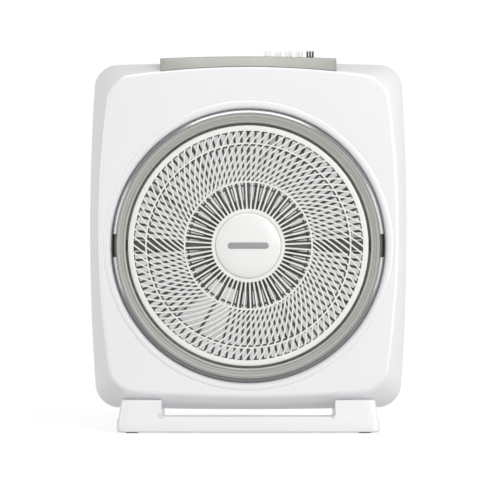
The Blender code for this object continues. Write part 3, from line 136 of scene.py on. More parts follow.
# %% A finish
class Finish:
    """One material: a Principled shader and the nodes that vary it."""

    def __init__(self, name, colour, roughness, **fixed):
        self.material = bpy.data.materials.new(name)
        self.material.use_nodes = True
        self.tree = self.material.node_tree
        self.shader = self.tree.nodes["Principled BSDF"]
        self.colour = (*colour, 1.0)
        self.feed("Base Color", self.colour)
        self.feed("Roughness", roughness)
        for socket, value in fixed.items():
            self.feed(socket.replace("_", " "), value)

    def join(self, socket, value):
        if isinstance(value, Value):
            self.tree.links.new(value.socket, socket)
        else:
            socket.default_value = value

    def feed(self, name, value):
        self.join(self.shader.inputs[name], value)

    def add(self, kind, settings, inputs):
        node = self.tree.nodes.new(kind)
        for key, value in settings.items():
            setattr(node, key, value)
        for key, value in inputs.items():
            self.join(node.inputs[key], value)
        return node

    def value(self, kind, settings, inputs, output=0):
        return Value(self, self.add(kind, settings, inputs).outputs[output])

    def place(self):
        return self.value("ShaderNodeTexCoord", {}, {}, "Object")

    def along(self, axis):
        return self.value("ShaderNodeSeparateXYZ", {}, {0: self.place()}, axis)

    def stretched(self, scale):
        return self.value("ShaderNodeMapping", {}, {"Vector": self.place(), "Scale": scale})

    def noise(self, per_metre, detail=2.0, where=None):
        inputs = {"Vector": where or self.place(), "Scale": per_metre, "Detail": detail}
        return self.value("ShaderNodeTexNoise", {}, inputs)

    def paint(self, mask, colour, under=None):
        """Colour over what is under it, where mask is 1."""
        inputs = {0: mask, 6: under or self.colour, 7: (*colour, 1.0)}
        result = self.value("ShaderNodeMix", {"data_type": "RGBA"}, inputs, 2)
        self.feed("Base Color", result)
        return result

    def bump(self, height, depth):
        inputs = {"Height": height, "Strength": 1.0, "Distance": depth}
        self.feed("Normal", self.value("ShaderNodeBump", {}, inputs))

    def wear(self, mask, under, roughness, height, depth):
        """The three things that vary on a metal: its shade, its shine and its relief."""
        self.paint(mask.clamped(), under)
        self.feed("Roughness", roughness)
        self.bump(height, depth)
        return self


# %% [markdown]
# ## Moulded plastic
#
# Up close, moulded plastic is never one flat colour: the melt leaves a faint cloud, the mould
# gives it a fine grain, and hands and dust change how it shines. One function makes them all.

# %% Plastic finishes
def darker(colour, share):
    return tuple(part * share for part in colour)


def moulded(name, colour, roughness, cloud=0.96, grain=0.000012, **fixed):
    finish = Finish(name, colour, roughness, **fixed)
    flow = finish.noise(7.0, 3.0)
    dust = finish.noise(260.0, 4.0)
    shade = finish.paint((flow * 1.6 - 0.3).clamped(), darker(colour, cloud))
    finish.paint(((dust - 0.62) * 4.0).clamped() * 0.10, darker(colour, 0.72), shade)
    finish.feed("Roughness", roughness + 0.16 * (finish.noise(34.0, 3.0) - 0.5))
    finish.bump(finish.noise(2100.0, 1.0), grain)
    return finish


WHITE = (0.852, 0.852, 0.864)
WARM_WHITE = (0.845, 0.838, 0.806)
# The panel is the same grey plastic as the ring; this copy is made darker as painted shade.
PANEL_SHADED_GREY = (0.222, 0.225, 0.188)
RING_GREY = (0.430, 0.432, 0.400)
CHARCOAL = (0.050, 0.047, 0.043)
# Dark grey of the rear guard and the crossbar: partly their own dark plastic, partly painted shade for
# their place deep inside the fan.
GUARD_GREY_AND_SHADE = (0.150, 0.150, 0.136)
SMOKE = (0.50, 0.495, 0.50)

white_plastic = moulded("white plastic", WHITE, 0.34, 0.975, Specular_IOR_Level=0.45)
louver_plastic = moulded("louver plastic", WARM_WHITE, 0.38, 0.98)
panel_shaded_plastic = moulded("panel grey plastic with painted shade", PANEL_SHADED_GREY, 0.40, 0.95)
ring_plastic = moulded("ring grey plastic", RING_GREY, 0.34, 0.95)
guard_plastic_and_shade = moulded("guard plastic and painted shade", GUARD_GREY_AND_SHADE, 0.42, 0.90)
charcoal_plastic = moulded("charcoal plastic", CHARCOAL, 0.42, 0.80)
smoke_plastic = moulded("smoke plastic", SMOKE, 0.18, 0.94, 0.000004, Alpha=0.25)
print("plastics:", len(bpy.data.materials))

# %% [markdown]
# The ring's outer flank is polished: it mirrors whatever it faces, so it goes from bright to
# almost black on its way round. Turned tooling leaves very fine circles on it, drawn from the
# distance to the axis.

# %% Polished flank of the ring
def from_axis(finish):
    across = finish.along("X")
    up = finish.along("Z") - AXIS.z
    return (across * across + up * up) ** 0.5


def polished_flank():
    colour = (0.25, 0.245, 0.255)
    finish = Finish("polished flank", colour, 0.20, Metallic=0.35)
    circles = (from_axis(finish) * 9000.0).sine()
    cloud = finish.noise(40.0, 4.0) * 1.4 - 0.4
    return finish.wear(cloud, darker(colour, 0.85), 0.20 + 0.04 * circles, circles, 0.000004)


flank_plastic = polished_flank()

# %% [markdown]
# ## Metal, rubber and copper
#
# Screws and shafts are zinc-plated, which is bright but cloudy. The motor's covers are painted.
# Its core is a stack of thin sheets, and its coils are varnished wire: both show as fine lines.

# %% Metal finishes
def zinc():
    finish = Finish("zinc plate", (0.62, 0.62, 0.60), 0.34, Metallic=1.0)
    cloud = finish.noise(420.0, 4.0)
    grain = finish.noise(3000.0, 2.0)
    return finish.wear(cloud * 1.8 - 0.5, (0.47, 0.48, 0.49), 0.24 + 0.24 * cloud, grain, 0.00001)


def stove_enamel():
    colour = (0.36, 0.37, 0.38)
    finish = Finish("stove enamel", colour, 0.42)
    peel = finish.noise(700.0, 2.0)
    cloud = finish.noise(60.0, 4.0) * 1.5 - 0.4
    return finish.wear(cloud, darker(colour, 0.84), 0.34 + 0.16 * peel, peel, 0.00004)


def core_steel():
    finish = Finish("laminated steel", (0.26, 0.26, 0.28), 0.5, Metallic=1.0)
    sheets = (finish.along("Y") * 12000.0).sine()
    shine = 0.46 + 0.14 * finish.noise(300.0, 3.0)
    return finish.wear(sheets * 0.5 + 0.3, (0.12, 0.12, 0.13), shine, sheets, 0.00005)


def copper_wire():
    finish = Finish("copper wire", (0.72, 0.33, 0.14), 0.28, Metallic=1.0)
    turns = (from_axis(finish) * 9000.0).sine()
    shine = 0.26 + 0.12 * finish.noise(500.0, 3.0)
    return finish.wear(turns * 0.5 + 0.2, (0.40, 0.15, 0.05), shine, turns, 0.0001)


def black_rubber():
    finish = Finish("black rubber", (0.028, 0.028, 0.030), 0.78)
    dust = finish.noise(900.0, 4.0)
    specks = ((dust - 0.5) * 3.0).clamped() * 0.5
    return finish.wear(specks, (0.10, 0.10, 0.10), 0.68 + 0.2 * dust, finish.noise(2400.0, 2.0), 0.00004)


zinc_plate, enamel, laminated = zinc(), stove_enamel(), core_steel()
copper, rubber = copper_wire(), black_rubber()

# %% [markdown]
# The small solids whose shape is already right only trade their plain material for one of these.

# %% Finishes for the plain solids
def dress(finish, *names):
    for name in names:
        mesh = frame["nodes"][name].data
        mesh.materials.clear()
        mesh.materials.append(finish.material)


screws = [name for name in frame["nodes"] if "screw" in name]
feet = [name for name in frame["nodes"] if name.startswith("foot_")]
dress(zinc_plate, *screws, "louver_motor", "louver_shaft", "motor_shaft")
dress(rubber, *feet, "cord_inlet")
dress(enamel, "motor_front_cover", "motor_rear_cover")
dress(laminated, "stator_core", "rotor_core", "front_bearing", "rear_bearing")
dress(copper, "front_winding", "rear_winding")
dress(charcoal_plastic, "switch_block", "run_capacitor", "blade_nut")
print("screws:", len(screws), "feet:", len(feet))

# %% [markdown]
# ## Tools for the fine pieces
#
# Most shapes here are skins: a closed row of verts is extruded on to one line of points after
# another until its whole profile is walked. Round pieces are spun from a profile. `put_up` ends
# every piece: it turns the faces outwards, keeps sharp edges sharp, rides the piece on its body
# and hides the plain solids that it stands in for.

# %% Making, growing and placing a mesh
def put_up(name, bm, finishes, body, replaced=(), sharp=34):
    bmesh.ops.recalc_face_normals(bm, faces=bm.faces)
    mesh = bpy.data.meshes.new(name)
    bm.to_mesh(mesh)
    bm.free()
    mesh.shade_smooth()
    mesh.set_sharp_from_angle(angle=radians(sharp))
    for finish in finishes:
        mesh.materials.append(finish.material)
    obj = bpy.data.objects.new(name, mesh)
    bpy.context.scene.collection.objects.link(obj)
    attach(obj, body)
    if replaced:
        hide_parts(*replaced)
    print(name, len(mesh.polygons), "faces")
    return obj


def row(bm, points):
    verts = [bm.verts.new(point) for point in points]
    for pair in zip(verts, verts[1:] + verts[:1]):
        bm.edges.new(pair)
    return verts


def row_edges(bm, verts):
    return [bm.edges.get(pair) for pair in zip(verts, verts[1:] + verts[:1])]


def grow(bm, verts, lines):
    """Extrude a closed row of verts on to each line of points in turn."""
    for points in lines:
        made = bmesh.ops.extrude_edge_only(bm, edges=row_edges(bm, verts))["geom"]
        fresh = {item for item in made if isinstance(item, bmesh.types.BMVert)}
        grown = []
        for vert in verts:
            ends = (edge.other_vert(vert) for edge in vert.link_edges)
            grown.append(next(end for end in ends if end in fresh))
        verts = grown
        for vert, point in zip(verts, points):
            vert.co = point
    return verts


def cap(bm, verts):
    bmesh.ops.edgeloop_fill(bm, edges=row_edges(bm, verts))


def grown_solid(lines):
    """Closed solid grown through rows of points; also gives its two end rows."""
    bm = bmesh.new()
    first = row(bm, lines[0])
    last = grow(bm, first, lines[1:])
    cap(bm, first)
    cap(bm, last)
    return bm, (first, last)


def everything(bm):
    return bm.verts[:] + bm.edges[:] + bm.faces[:]


def cut_faces(bm, faces, place, normal):
    """Score a plane's line across some of the faces."""
    parts = {item for face in faces for item in (*face.verts, *face.edges, face)}
    bmesh.ops.bisect_plane(bm, geom=list(parts), plane_co=place, plane_no=normal)


def sink(bm, faces, shift):
    """Move faces by shift and leave walls behind them; gives the faces that are new."""
    made = bmesh.ops.extrude_face_region(bm, geom=faces)["geom"]
    moved = [item for item in made if isinstance(item, bmesh.types.BMVert)]
    bmesh.ops.translate(bm, verts=moved, vec=shift)
    bmesh.ops.delete(bm, geom=faces, context="FACES_ONLY")
    return [item for item in made if isinstance(item, bmesh.types.BMFace)]


def spun(profile, steps):
    """Turn (radius, y) corners about the fan's axis; a profile may start and end on it."""
    bm = bmesh.new()
    verts = [bm.verts.new((radius, y, AXIS.z)) for radius, y in profile]
    pairs = list(zip(verts, verts[1:]))
    if profile[0][0] > 0:
        pairs.append((verts[-1], verts[0]))
    edges = [bm.edges.new(pair) for pair in pairs]
    bmesh.ops.spin(
        bm, geom=verts + edges, cent=AXIS, axis=(0, 1, 0), angle=2 * pi, steps=steps, use_merge=True
    )
    bmesh.ops.remove_doubles(bm, verts=bm.verts, dist=1e-6)
    return bm


def merge_into(bm, other):
    """Move every face of another bmesh into bm."""
    scratch = bpy.data.meshes.new("scratch")
    other.to_mesh(scratch)
    other.free()
    bm.from_mesh(scratch)
    bpy.data.meshes.remove(scratch)


def repeat_round(bm, count):
    """Copy everything in bm round the fan's axis, count times in all."""
    bmesh.ops.spin(
        bm, geom=everything(bm), cent=AXIS, axis=(0, 1, 0), angle=2 * pi * (count - 1) / count,
        steps=count - 1, use_duplicate=True,
    )


def box_mesh(corner_a, corner_b, edge=0.0, segments=2):
    bm = bmesh.new()
    corner_a, corner_b = Vector(corner_a), Vector(corner_b)
    place = Matrix.Translation((corner_a + corner_b) / 2) @ Matrix.Diagonal((*(corner_b - corner_a), 1))
    bmesh.ops.create_cube(bm, size=1, matrix=place)
    if edge:
        round_off(bm, bm.edges[:], edge, segments)
    return bm


def round_off(bm, edges, width, segments):
    bmesh.ops.bevel(
        bm, geom=edges, offset=width, segments=segments, profile=0.5, affect="EDGES", material=-1
    )


def quarter(start, end, steps, hollow=False):
    """Quarter round from one (a, b) corner to another, bulging away from its centre."""
    points = []
    for i in range(steps + 1):
        turn = pi / 2 * i / steps
        first, second = (1 - cos(turn), sin(turn)) if hollow else (sin(turn), 1 - cos(turn))
        across, up = (end[0] - start[0]) * first, (end[1] - start[1]) * second
        points.append((start[0] + across, start[1] + up))
    return points


# %% [markdown]
# ## The body's outline
#
# From the front the body is a rounded rectangle with bowed sides. It is widest where the two
# shells meet and draws in towards both ends, so that each shell leaves its mould. The outline's
# point in a direction is found by halving the distance again and again, so no formula is needed
# for where a bowed side meets a corner.

# %% Outline of the body
Outline = namedtuple("Outline", "half_width top bottom corner side_bow top_arch bottom_arch waist")
BODY_HALF = high("front_shell").x
BODY_TOP = high("front_shell").z - AXIS.z
BODY_BOTTOM = AXIS.z - low("front_shell").z
WAIST = 0.0205
DRAFT_CURVE = 1.8
WALL = 0.0025

JOINT_SHAPE = Outline(BODY_HALF, BODY_TOP, BODY_BOTTOM, 0.0270, 0.353, 0.200, 0.170, WAIST)
FACE_SIZE = BODY_HALF - 0.0143, BODY_TOP - 0.0093, BODY_BOTTOM - 0.0198
FACE_SHAPE = Outline(*FACE_SIZE, 0.0245, 0.868, 1.000, 0.620, WAIST)
BACK_SIZE = BODY_HALF - 0.0110, BODY_TOP - 0.0100, BODY_BOTTOM - 0.0125
BACK_SHAPE = Outline(*BACK_SIZE, 0.0250, 0.500, 0.400, 0.333, WAIST)


def between(first, second, share):
    return Outline(*(a + (b - a) * share for a, b in zip(first, second)))


def shape_at(y):
    if y < JOINT_Y:
        share = min((JOINT_Y - y) / (JOINT_Y - FACE_Y), 1.0)
        return between(JOINT_SHAPE, FACE_SHAPE, share**DRAFT_CURVE)
    share = min((y - JOINT_Y) / (BACK_Y - JOINT_Y), 1.0)
    return between(JOINT_SHAPE, BACK_SHAPE, share**DRAFT_CURVE)


def outside_by(shape, x, z, inset):
    bow = shape.side_bow * (z - shape.waist) ** 2 / 2
    side = abs(x) - shape.half_width + inset + bow
    if z > 0:
        end = z - shape.top + inset + shape.top_arch * x * x / 2
    else:
        end = -z - shape.bottom + inset + shape.bottom_arch * x * x / 2
    corner = max(shape.corner - inset, WALL)
    past_side, past_end = side + corner, end + corner
    return hypot(max(past_side, 0), max(past_end, 0)) + min(max(past_side, past_end), 0) - corner


def reach(shape, angle, inset):
    near, far = 0.0, 2 * (shape.half_width + shape.top)
    while far - near > 1e-7:
        middle = (near + far) / 2
        if outside_by(shape, middle * cos(angle), middle * sin(angle), inset) > 0:
            far = middle
        else:
            near = middle
    return near


# %% [markdown]
# The directions lie closer together at the corners, where the outline turns fast. They serve the
# round opening too, so that the skin runs from outline to circle without a twist.

# %% Directions round the outline
SIDE_STEPS, CORNER_STEPS = 26, 12


def spread(first, last, steps):
    return [first + (last - first) * i / steps for i in range(steps)]


def directions(shape, side_steps=SIDE_STEPS, corner_steps=CORNER_STEPS):
    upper_start = atan2(shape.top - shape.corner, shape.half_width)
    upper_end = atan2(shape.top, shape.half_width - 1.3 * shape.corner)
    lower_start = atan2(shape.bottom, shape.half_width - 1.3 * shape.corner)
    lower_end = atan2(shape.bottom - shape.corner, shape.half_width)
    stops = [-lower_end, upper_start, upper_end, pi - upper_end, pi - upper_start, pi + lower_end]
    stops += [pi + lower_start, 2 * pi - lower_start, 2 * pi - lower_end]
    angles = []
    for i, (first, last) in enumerate(zip(stops, stops[1:])):
        angles += spread(first, last, corner_steps if i % 2 else side_steps)
    return angles


BODY_ANGLES = directions(between(FACE_SHAPE, JOINT_SHAPE, 0.5))


def body_line(y, inset=0.0, level=None):
    """Points round the body at y; level puts the same outline at another y."""
    shape = shape_at(y)
    points = []
    for angle in BODY_ANGLES:
        radius = reach(shape, angle, inset)
        points.append((radius * cos(angle), y if level is None else level, AXIS.z + radius * sin(angle)))
    return points


def round_line(radius, y):
    return [(radius * cos(angle), y, AXIS.z + radius * sin(angle)) for angle in BODY_ANGLES]


print("outline points:", len(BODY_ANGLES))

# %% [markdown]
# ## Front shell
#
# One moulding makes the face, the sides, the bead around the opening, the ring's seat and the air
# duct. We walk that profile once, from the rim where the shells meet to the duct's end, as an open
# skin, and Solidify gives it the wall of a real moulding.

# %% Front shell
FACE_EDGE = 0.0034
RIM_EDGE = 0.0007
SEAT_RADIUS, SEAT_DEPTH = 0.1713, 0.0060
DUCT_RADIUS, DUCT_LENGTH = 0.1570, 0.0480
BEAD = ((0.1824, 0.0), (0.1820, 0.0004), (0.1816, 0.0004), (0.1811, -0.0003), (0.1801, -0.0009),
        (0.1786, -0.0012), (0.1772, -0.0013), (0.1756, -0.0011), (0.1742, -0.0006), (0.1731, 0.0001),
        (0.1722, 0.0010), (0.1716, 0.0020), (SEAT_RADIUS, 0.0030))
DRAFT_SHARES = (0.16, 0.32, 0.46, 0.60, 0.72, 0.83)


def eased_rim(y, towards):
    """The slight round at the rim where the shells meet; it shows as a fine seam."""
    first = body_line(y, RIM_EDGE)
    return [first, body_line(y + towards * RIM_EDGE / 3, RIM_EDGE / 3), body_line(y + towards * RIM_EDGE)]


def face_edge_lines(face, towards):
    lines = []
    for inset, rise in quarter((0.0, FACE_EDGE), (FACE_EDGE, 0.0), 7, hollow=True):
        lines.append(body_line(face - towards * rise, inset))
    return lines


def thicken(obj, wall):
    modifier = obj.modifiers.new("wall", "SOLIDIFY")
    modifier.thickness = wall
    modifier.offset = -1
    modifier.use_even_offset = True
    modifier.use_quality_normals = True


def switch_well(bm):
    """Open the skin under the control panel, where the keys reach the switch."""
    first, last = low("switch_block"), high("switch_block")
    room = Vector((0.002, 0.002, 0))
    first, last = first - room, last + room
    for normal in (Vector((1, 0, 0)), Vector((0, 1, 0))):
        for corner in (first, last):
            upper = [face for face in bm.faces if face.calc_center_median().z > last.z]
            cut_faces(bm, upper, normal * corner.dot(normal), normal)
    inside = []
    for face in bm.faces:
        centre = face.calc_center_median()
        if centre.z > last.z and first.x < centre.x < last.x and first.y < centre.y < last.y:
            inside.append(face)
    bmesh.ops.delete(bm, geom=inside, context="FACES")


def front_shell():
    bm = bmesh.new()
    rim = high("front_shell").y
    lines = eased_rim(rim, -1)
    lines += [body_line(rim + (FACE_Y - rim) * share) for share in DRAFT_SHARES]
    lines += face_edge_lines(FACE_Y, -1)
    lines += [round_line(radius, FACE_Y + rise) for radius, rise in BEAD]
    floor = FACE_Y + SEAT_DEPTH
    lines += [round_line(SEAT_RADIUS, floor), round_line(DUCT_RADIUS + 0.001, floor)]
    lines += [round_line(DUCT_RADIUS, floor + 0.001), round_line(DUCT_RADIUS, FACE_Y + DUCT_LENGTH)]
    grow(bm, row(bm, lines[0]), lines[1:])
    switch_well(bm)
    obj = put_up("front_casing", bm, [white_plastic], "housing", ["front_shell"], 40)
    thicken(obj, WALL)


front_shell()

# %% [markdown]
# ## Rear shell
#
# The flat back has several holes: for the guard, a carrying grip, sunk screws and the inlet. We
# lay down the rows of the outline and the holes, let triangle fill span them, and grow each
# hole's row inwards, with a small round at its mouth.

# %% Holes of the rear shell
GRIP_HALF = (0.0550, 0.0130)
GRIP_CORNER = 0.0065
GRIP_DEPTH = 0.0290
GRIP_CENTRE = (0.0, BODY_TOP - 0.0100 - 0.0400)
MOUTH = 0.0012
GUARD_SEAT, GUARD_SEAT_DEPTH, GUARD_LEDGE = 0.1620, 0.0055, 0.0080
WELL_RADIUS, WELL_DEPTH, WELL_LEDGE = 0.0036, 0.0029, 0.0012
INLET_RADIUS = 0.0064


def ring_points(centre, radius, y, steps=24):
    points = []
    for i in range(steps):
        angle = 2 * pi * i / steps
        points.append((centre[0] + radius * cos(angle), y, AXIS.z + centre[1] + radius * sin(angle)))
    return points


def slot_points(centre, half, corner, grown, y, steps=6):
    """Rounded rectangle at y, with its outline moved outwards by grown."""
    points = []
    for quadrant in range(4):
        side_x = 1 if quadrant in (0, 3) else -1
        side_z = 1 if quadrant in (0, 1) else -1
        for i in range(steps + 1):
            angle = pi / 2 * (quadrant + i / steps)
            x = centre[0] + side_x * (half[0] - corner) + (corner + grown) * cos(angle)
            z = centre[1] + side_z * (half[1] - corner) + (corner + grown) * sin(angle)
            points.append((x, y, AXIS.z + z))
    return points


def screw_spots():
    centres = [middle(f"shell_screw_{i}") - AXIS for i in range(1, 7)]
    return [(centre.x, centre.z) for centre in centres]


def mouth(shape_of, depth):
    """Lines that lead a hole in from its eased mouth; shape_of(grown, y) draws the hole."""
    lines = [shape_of(grown, BACK_Y - rise) for grown, rise in quarter((MOUTH, 0.0), (0.0, MOUTH), 3)]
    return lines + [shape_of(0.0, BACK_Y - depth)]


# %% [markdown]
# The grip's hollow is closed with a softer round, as fingers need. The guard's seat ends in the
# ledge that the guard rests on.

# %% Rear shell
def grip_lines():
    def shape_of(grown, y):
        return slot_points(GRIP_CENTRE, GRIP_HALF, GRIP_CORNER, grown, y)

    lines = mouth(shape_of, GRIP_DEPTH - 0.004)
    for shrunk, rise in quarter((0.0, 0.0), (0.004, 0.004), 3)[1:]:
        lines.append(shape_of(-shrunk, BACK_Y - GRIP_DEPTH + 0.004 - rise))
    return lines


def rear_shell():
    bm = bmesh.new()
    rim = low("rear_shell").y
    lines = eased_rim(rim, 1)
    lines += [body_line(rim + (BACK_Y - rim) * share) for share in DRAFT_SHARES]
    lines += face_edge_lines(BACK_Y, 1)
    outline = grow(bm, row(bm, lines[0]), lines[1:])
    grip = grip_lines()
    inlet = middle("cord_inlet") - AXIS
    holes = [(grip, True)]
    seat = BACK_Y - GUARD_SEAT_DEPTH

    def opening(grown, y):
        return ring_points((0, 0), GUARD_SEAT + grown, y, 160)

    holes.append((mouth(opening, GUARD_SEAT_DEPTH) + [opening(-GUARD_LEDGE, seat)], False))
    for spot in screw_spots():
        def well(grown, y, spot=spot):
            return ring_points(spot, WELL_RADIUS + grown, y)

        holes.append((mouth(well, WELL_DEPTH) + [well(-WELL_LEDGE, BACK_Y - WELL_DEPTH)], False))
    lead = [ring_points((inlet.x, inlet.z), INLET_RADIUS, BACK_Y - depth) for depth in (0.0, WALL)]
    holes.append((lead, False))
    rows = [row(bm, lines[0]) for lines, _ in holes]
    drawn = row_edges(bm, outline) + [edge for verts in rows for edge in row_edges(bm, verts)]
    bmesh.ops.triangle_fill(bm, edges=drawn, use_beauty=True, normal=(0, 1, 0))
    for verts, (lines, blind) in zip(rows, holes):
        end = grow(bm, verts, lines[1:])
        if blind:
            cap(bm, end)
    obj = put_up("rear_casing", bm, [white_plastic], "housing", ["rear_shell"], 40)
    thicken(obj, WALL * 0.8)


rear_shell()

# %% [markdown]
# ## Guard ring
#
# The ring is spun from one closed profile. Going inwards it has a steep polished flank, a narrow
# crest, a broad shallow slope with two fine steps, a small raised lip and the skirt that reaches
# into the duct. The flank gets a polished finish of its own. The skirt is coloured charcoal as
# painted shade, for the dark gap between ring and louver. At three and nine o'clock a finger
# notch is sunk in the flank, between two cuts.

# %% Guard ring
RING_OUT = 0.1707
RING_IN = 0.1534
CREST_Y = low("louver_carrier").y
RING_BACK = high("louver_carrier").y
RING_FOOT = FACE_Y + 0.0056
NOTCH_HALF = 0.0145
NOTCH_WIDTH = 0.0056
NOTCH_SINK = 0.0075


def ring_profile():
    flank = [(RING_OUT, RING_FOOT), (RING_OUT, FACE_Y + 0.0010), (RING_OUT - 0.0002, FACE_Y - 0.0008)]
    flank += [(RING_OUT - 0.0007, FACE_Y - 0.0026), (RING_OUT - 0.0016, FACE_Y - 0.0043)]
    flank += [(RING_OUT - 0.0028, FACE_Y - 0.0056), (RING_OUT - 0.0042, FACE_Y - 0.0065)]
    crest = [(0.1656, CREST_Y), (0.1650, CREST_Y + 0.0001), (0.1648, CREST_Y + 0.0012)]
    crest += [(0.1643, CREST_Y + 0.0012), (0.1640, CREST_Y + 0.0004), (0.1634, CREST_Y + 0.0005)]
    slope = [(0.1606, CREST_Y + 0.0012), (0.1602, CREST_Y + 0.0022), (0.1598, CREST_Y + 0.0018)]
    slope += [(0.1579, CREST_Y + 0.0022), (0.1576, CREST_Y + 0.0031), (0.1566, CREST_Y + 0.0031)]
    slope += [(0.1561, CREST_Y + 0.0020), (0.1554, CREST_Y + 0.0017), (0.1546, CREST_Y + 0.0021)]
    slope += [(0.1538, CREST_Y + 0.0032), (RING_IN, CREST_Y + 0.0044)]
    skirt = [(RING_IN, RING_BACK), (0.1558, RING_BACK), (0.1560, RING_FOOT)]
    return flank + crest + slope + skirt


def sink_notch(bm, side):
    for z in (-NOTCH_HALF, NOTCH_HALF):
        near = [face for face in bm.faces if face.calc_center_median().x * side > 0]
        cut_faces(bm, near, AXIS + Vector((0, 0, z)), (0, 0, 1))
    sunk = []
    for face in bm.faces:
        centre = face.calc_center_median() - AXIS
        radius = hypot(centre.x, centre.z)
        if centre.x * side > 0 and abs(centre.z) < NOTCH_HALF and radius > RING_OUT - NOTCH_WIDTH:
            if centre.y + AXIS.y < FACE_Y + 0.001:
                sunk.append(face)
    for face in sink(bm, sunk, (0, NOTCH_SINK, 0)):
        face.material_index = 2


def guard_ring():
    bm = spun(ring_profile(), 192)
    for face in bm.faces:
        centre = face.calc_center_median() - AXIS
        radius = hypot(centre.x, centre.z)
        # The skirt's inner faces take charcoal as painted shade: it darkens the gap between ring and
        # louver.
        painted_shade_skirt = radius < RING_IN + 0.0001 and centre.y > CREST_Y + 0.0045
        face.material_index = 2 if painted_shade_skirt else int(radius > 0.1656)
    for side in (-1, 1):
        sink_notch(bm, side)
    finishes = [ring_plastic, flank_plastic, charcoal_plastic]
    put_up("guard_ring", bm, finishes, "housing", ["louver_carrier"], 40)


guard_ring()

# %% [markdown]
# ## Crossbar and motor pod
#
# Behind the louver a rounded bar runs from side to side of the ring. The pod in its middle is a
# shallow spun cup for the motor that turns the louver, and two posts take that motor's screws.

# %% Crossbar and pod
BAR_HEIGHT, BAR_DEPTH = 0.0127, 0.0088


def crossbar():
    bar_y = LOUVER_BACK + 0.0021
    reach_x, half_height = RING_IN + 0.001, BAR_HEIGHT / 2
    first = (-reach_x, bar_y, AXIS.z - half_height)
    bar = box_mesh(first, (reach_x, bar_y + BAR_DEPTH, AXIS.z + half_height), 0.0012, 3)
    outside = high("louver_motor").x + 0.0031
    front, back = bar_y - 0.0002, high("louver_motor").y - 0.0024
    profile = [(0.0060, front + 0.0025), (0.0060, front)]
    profile += [(outside - 0.0015, front), (outside, front + 0.0015)]
    profile += [(outside, back - 0.0006), (outside - 0.0006, back), (outside - 0.0024, back)]
    profile += [(outside - 0.0024, front + 0.0025)]
    merge_into(bar, spun(profile, 64))
    for screw in ("louver_motor_screw_1", "louver_motor_screw_2"):
        centre = middle(screw)
        post = bmesh.new()
        start, end = Vector((centre.x, bar_y + 0.001, centre.z)), Vector((centre.x, back, centre.z))
        turn = (end - start).to_track_quat("Z", "Y").to_matrix().to_4x4()
        place = Matrix.Translation((start + end) / 2) @ turn
        bmesh.ops.create_cone(
            post, cap_ends=True, segments=28, radius1=0.0050, radius2=0.0047,
            depth=(end - start).length, matrix=place,
        )
        round_off(post, [edge for edge in post.edges if edge.calc_face_angle() > 1], 0.0004, 2)
        merge_into(bar, post)
    # The bar takes the guard's dark grey rather than the ring's lighter grey: painted shade for its place
    # behind the louver.
    put_up("crossbar_and_pod", bar, [guard_plastic_and_shade], "housing")


crossbar()

# %% [markdown]
# ## Louver
#
# Ninety slim ribs lean away from the radius along a spiral and fan the air out as it turns. A
# spiral that always leans by the same angle turns by the logarithm of its radius. Sixty straight
# ribs fill the space around the hub. A rib is narrower at its back, because it has to leave the
# mould.

# %% Ribs of the louver
RIB_LEAN = radians(37.6)
OUTER_RIB_START, RIB_START_RADIUS = radians(3.57), 0.1000
INNER_RIB_START = radians(2.19)
OUTER_RIBS, INNER_RIBS = 90, 60
HUB_RADIUS, INNER_RING, MIDDLE_RING, RIM_INNER = 0.0461, 0.0798, 0.1279, 0.1435
RIB_SECTION = (
    (-0.00078, 0.0), (0.00078, 0.0), (0.00108, 0.0006), (0.00088, 1.0), (-0.00088, 1.0), (-0.00108, 0.0006)
)


def rib(radii, angle_at, lean, front, back):
    """Grow one rib through a row of radii; its section leans with it."""
    lines = []
    for radius in radii:
        angle = angle_at(radius)
        outward = Vector((cos(angle), 0, sin(angle)))
        around = Vector((-sin(angle), 0, cos(angle)))
        across = outward * sin(lean) + around * cos(lean)
        line = []
        for half, depth in RIB_SECTION:
            y = back if depth == 1.0 else front + depth
            line.append(AXIS + outward * radius + across * half + Vector((0, y - AXIS.y, 0)))
        lines.append(line)
    return grown_solid(lines)[0]


def spiral(radius):
    return OUTER_RIB_START - tan(RIB_LEAN) * log(radius / RIB_START_RADIUS)


def straight(_radius):
    return INNER_RIB_START


def louver_ribs():
    steps = 13
    radii = [INNER_RING + (RIM_INNER + 0.002 - INNER_RING) * i / steps for i in range(steps + 1)]
    outer = rib(radii, spiral, RIB_LEAN, LOUVER_FRONT + 0.0002, LOUVER_BACK)
    repeat_round(outer, OUTER_RIBS)
    inner = rib([HUB_RADIUS - 0.001, 0.063, INNER_RING], straight, 0.0, LOUVER_FRONT + 0.0002, LOUVER_BACK)
    repeat_round(inner, INNER_RIBS)
    merge_into(outer, inner)
    put_up("louver_ribs", outer, [louver_plastic], "louver", ["louver_grille"])


louver_ribs()

# %% [markdown]
# The rings that tie the ribs together are spun: a broad rim, two fine hoops and the hub. The
# hub's front has a narrow groove, which shows as the fine line around the cap.

# %% Rings of the louver
def hoop(radius, width):
    half, front = width / 2, LOUVER_FRONT
    corners = ((-0.55, front), (0.55, front), (1, front + 0.0006), (0.8, LOUVER_BACK))
    corners += ((-0.8, LOUVER_BACK), (-1, front + 0.0006))
    return [(radius + half * side, y) for side, y in corners]


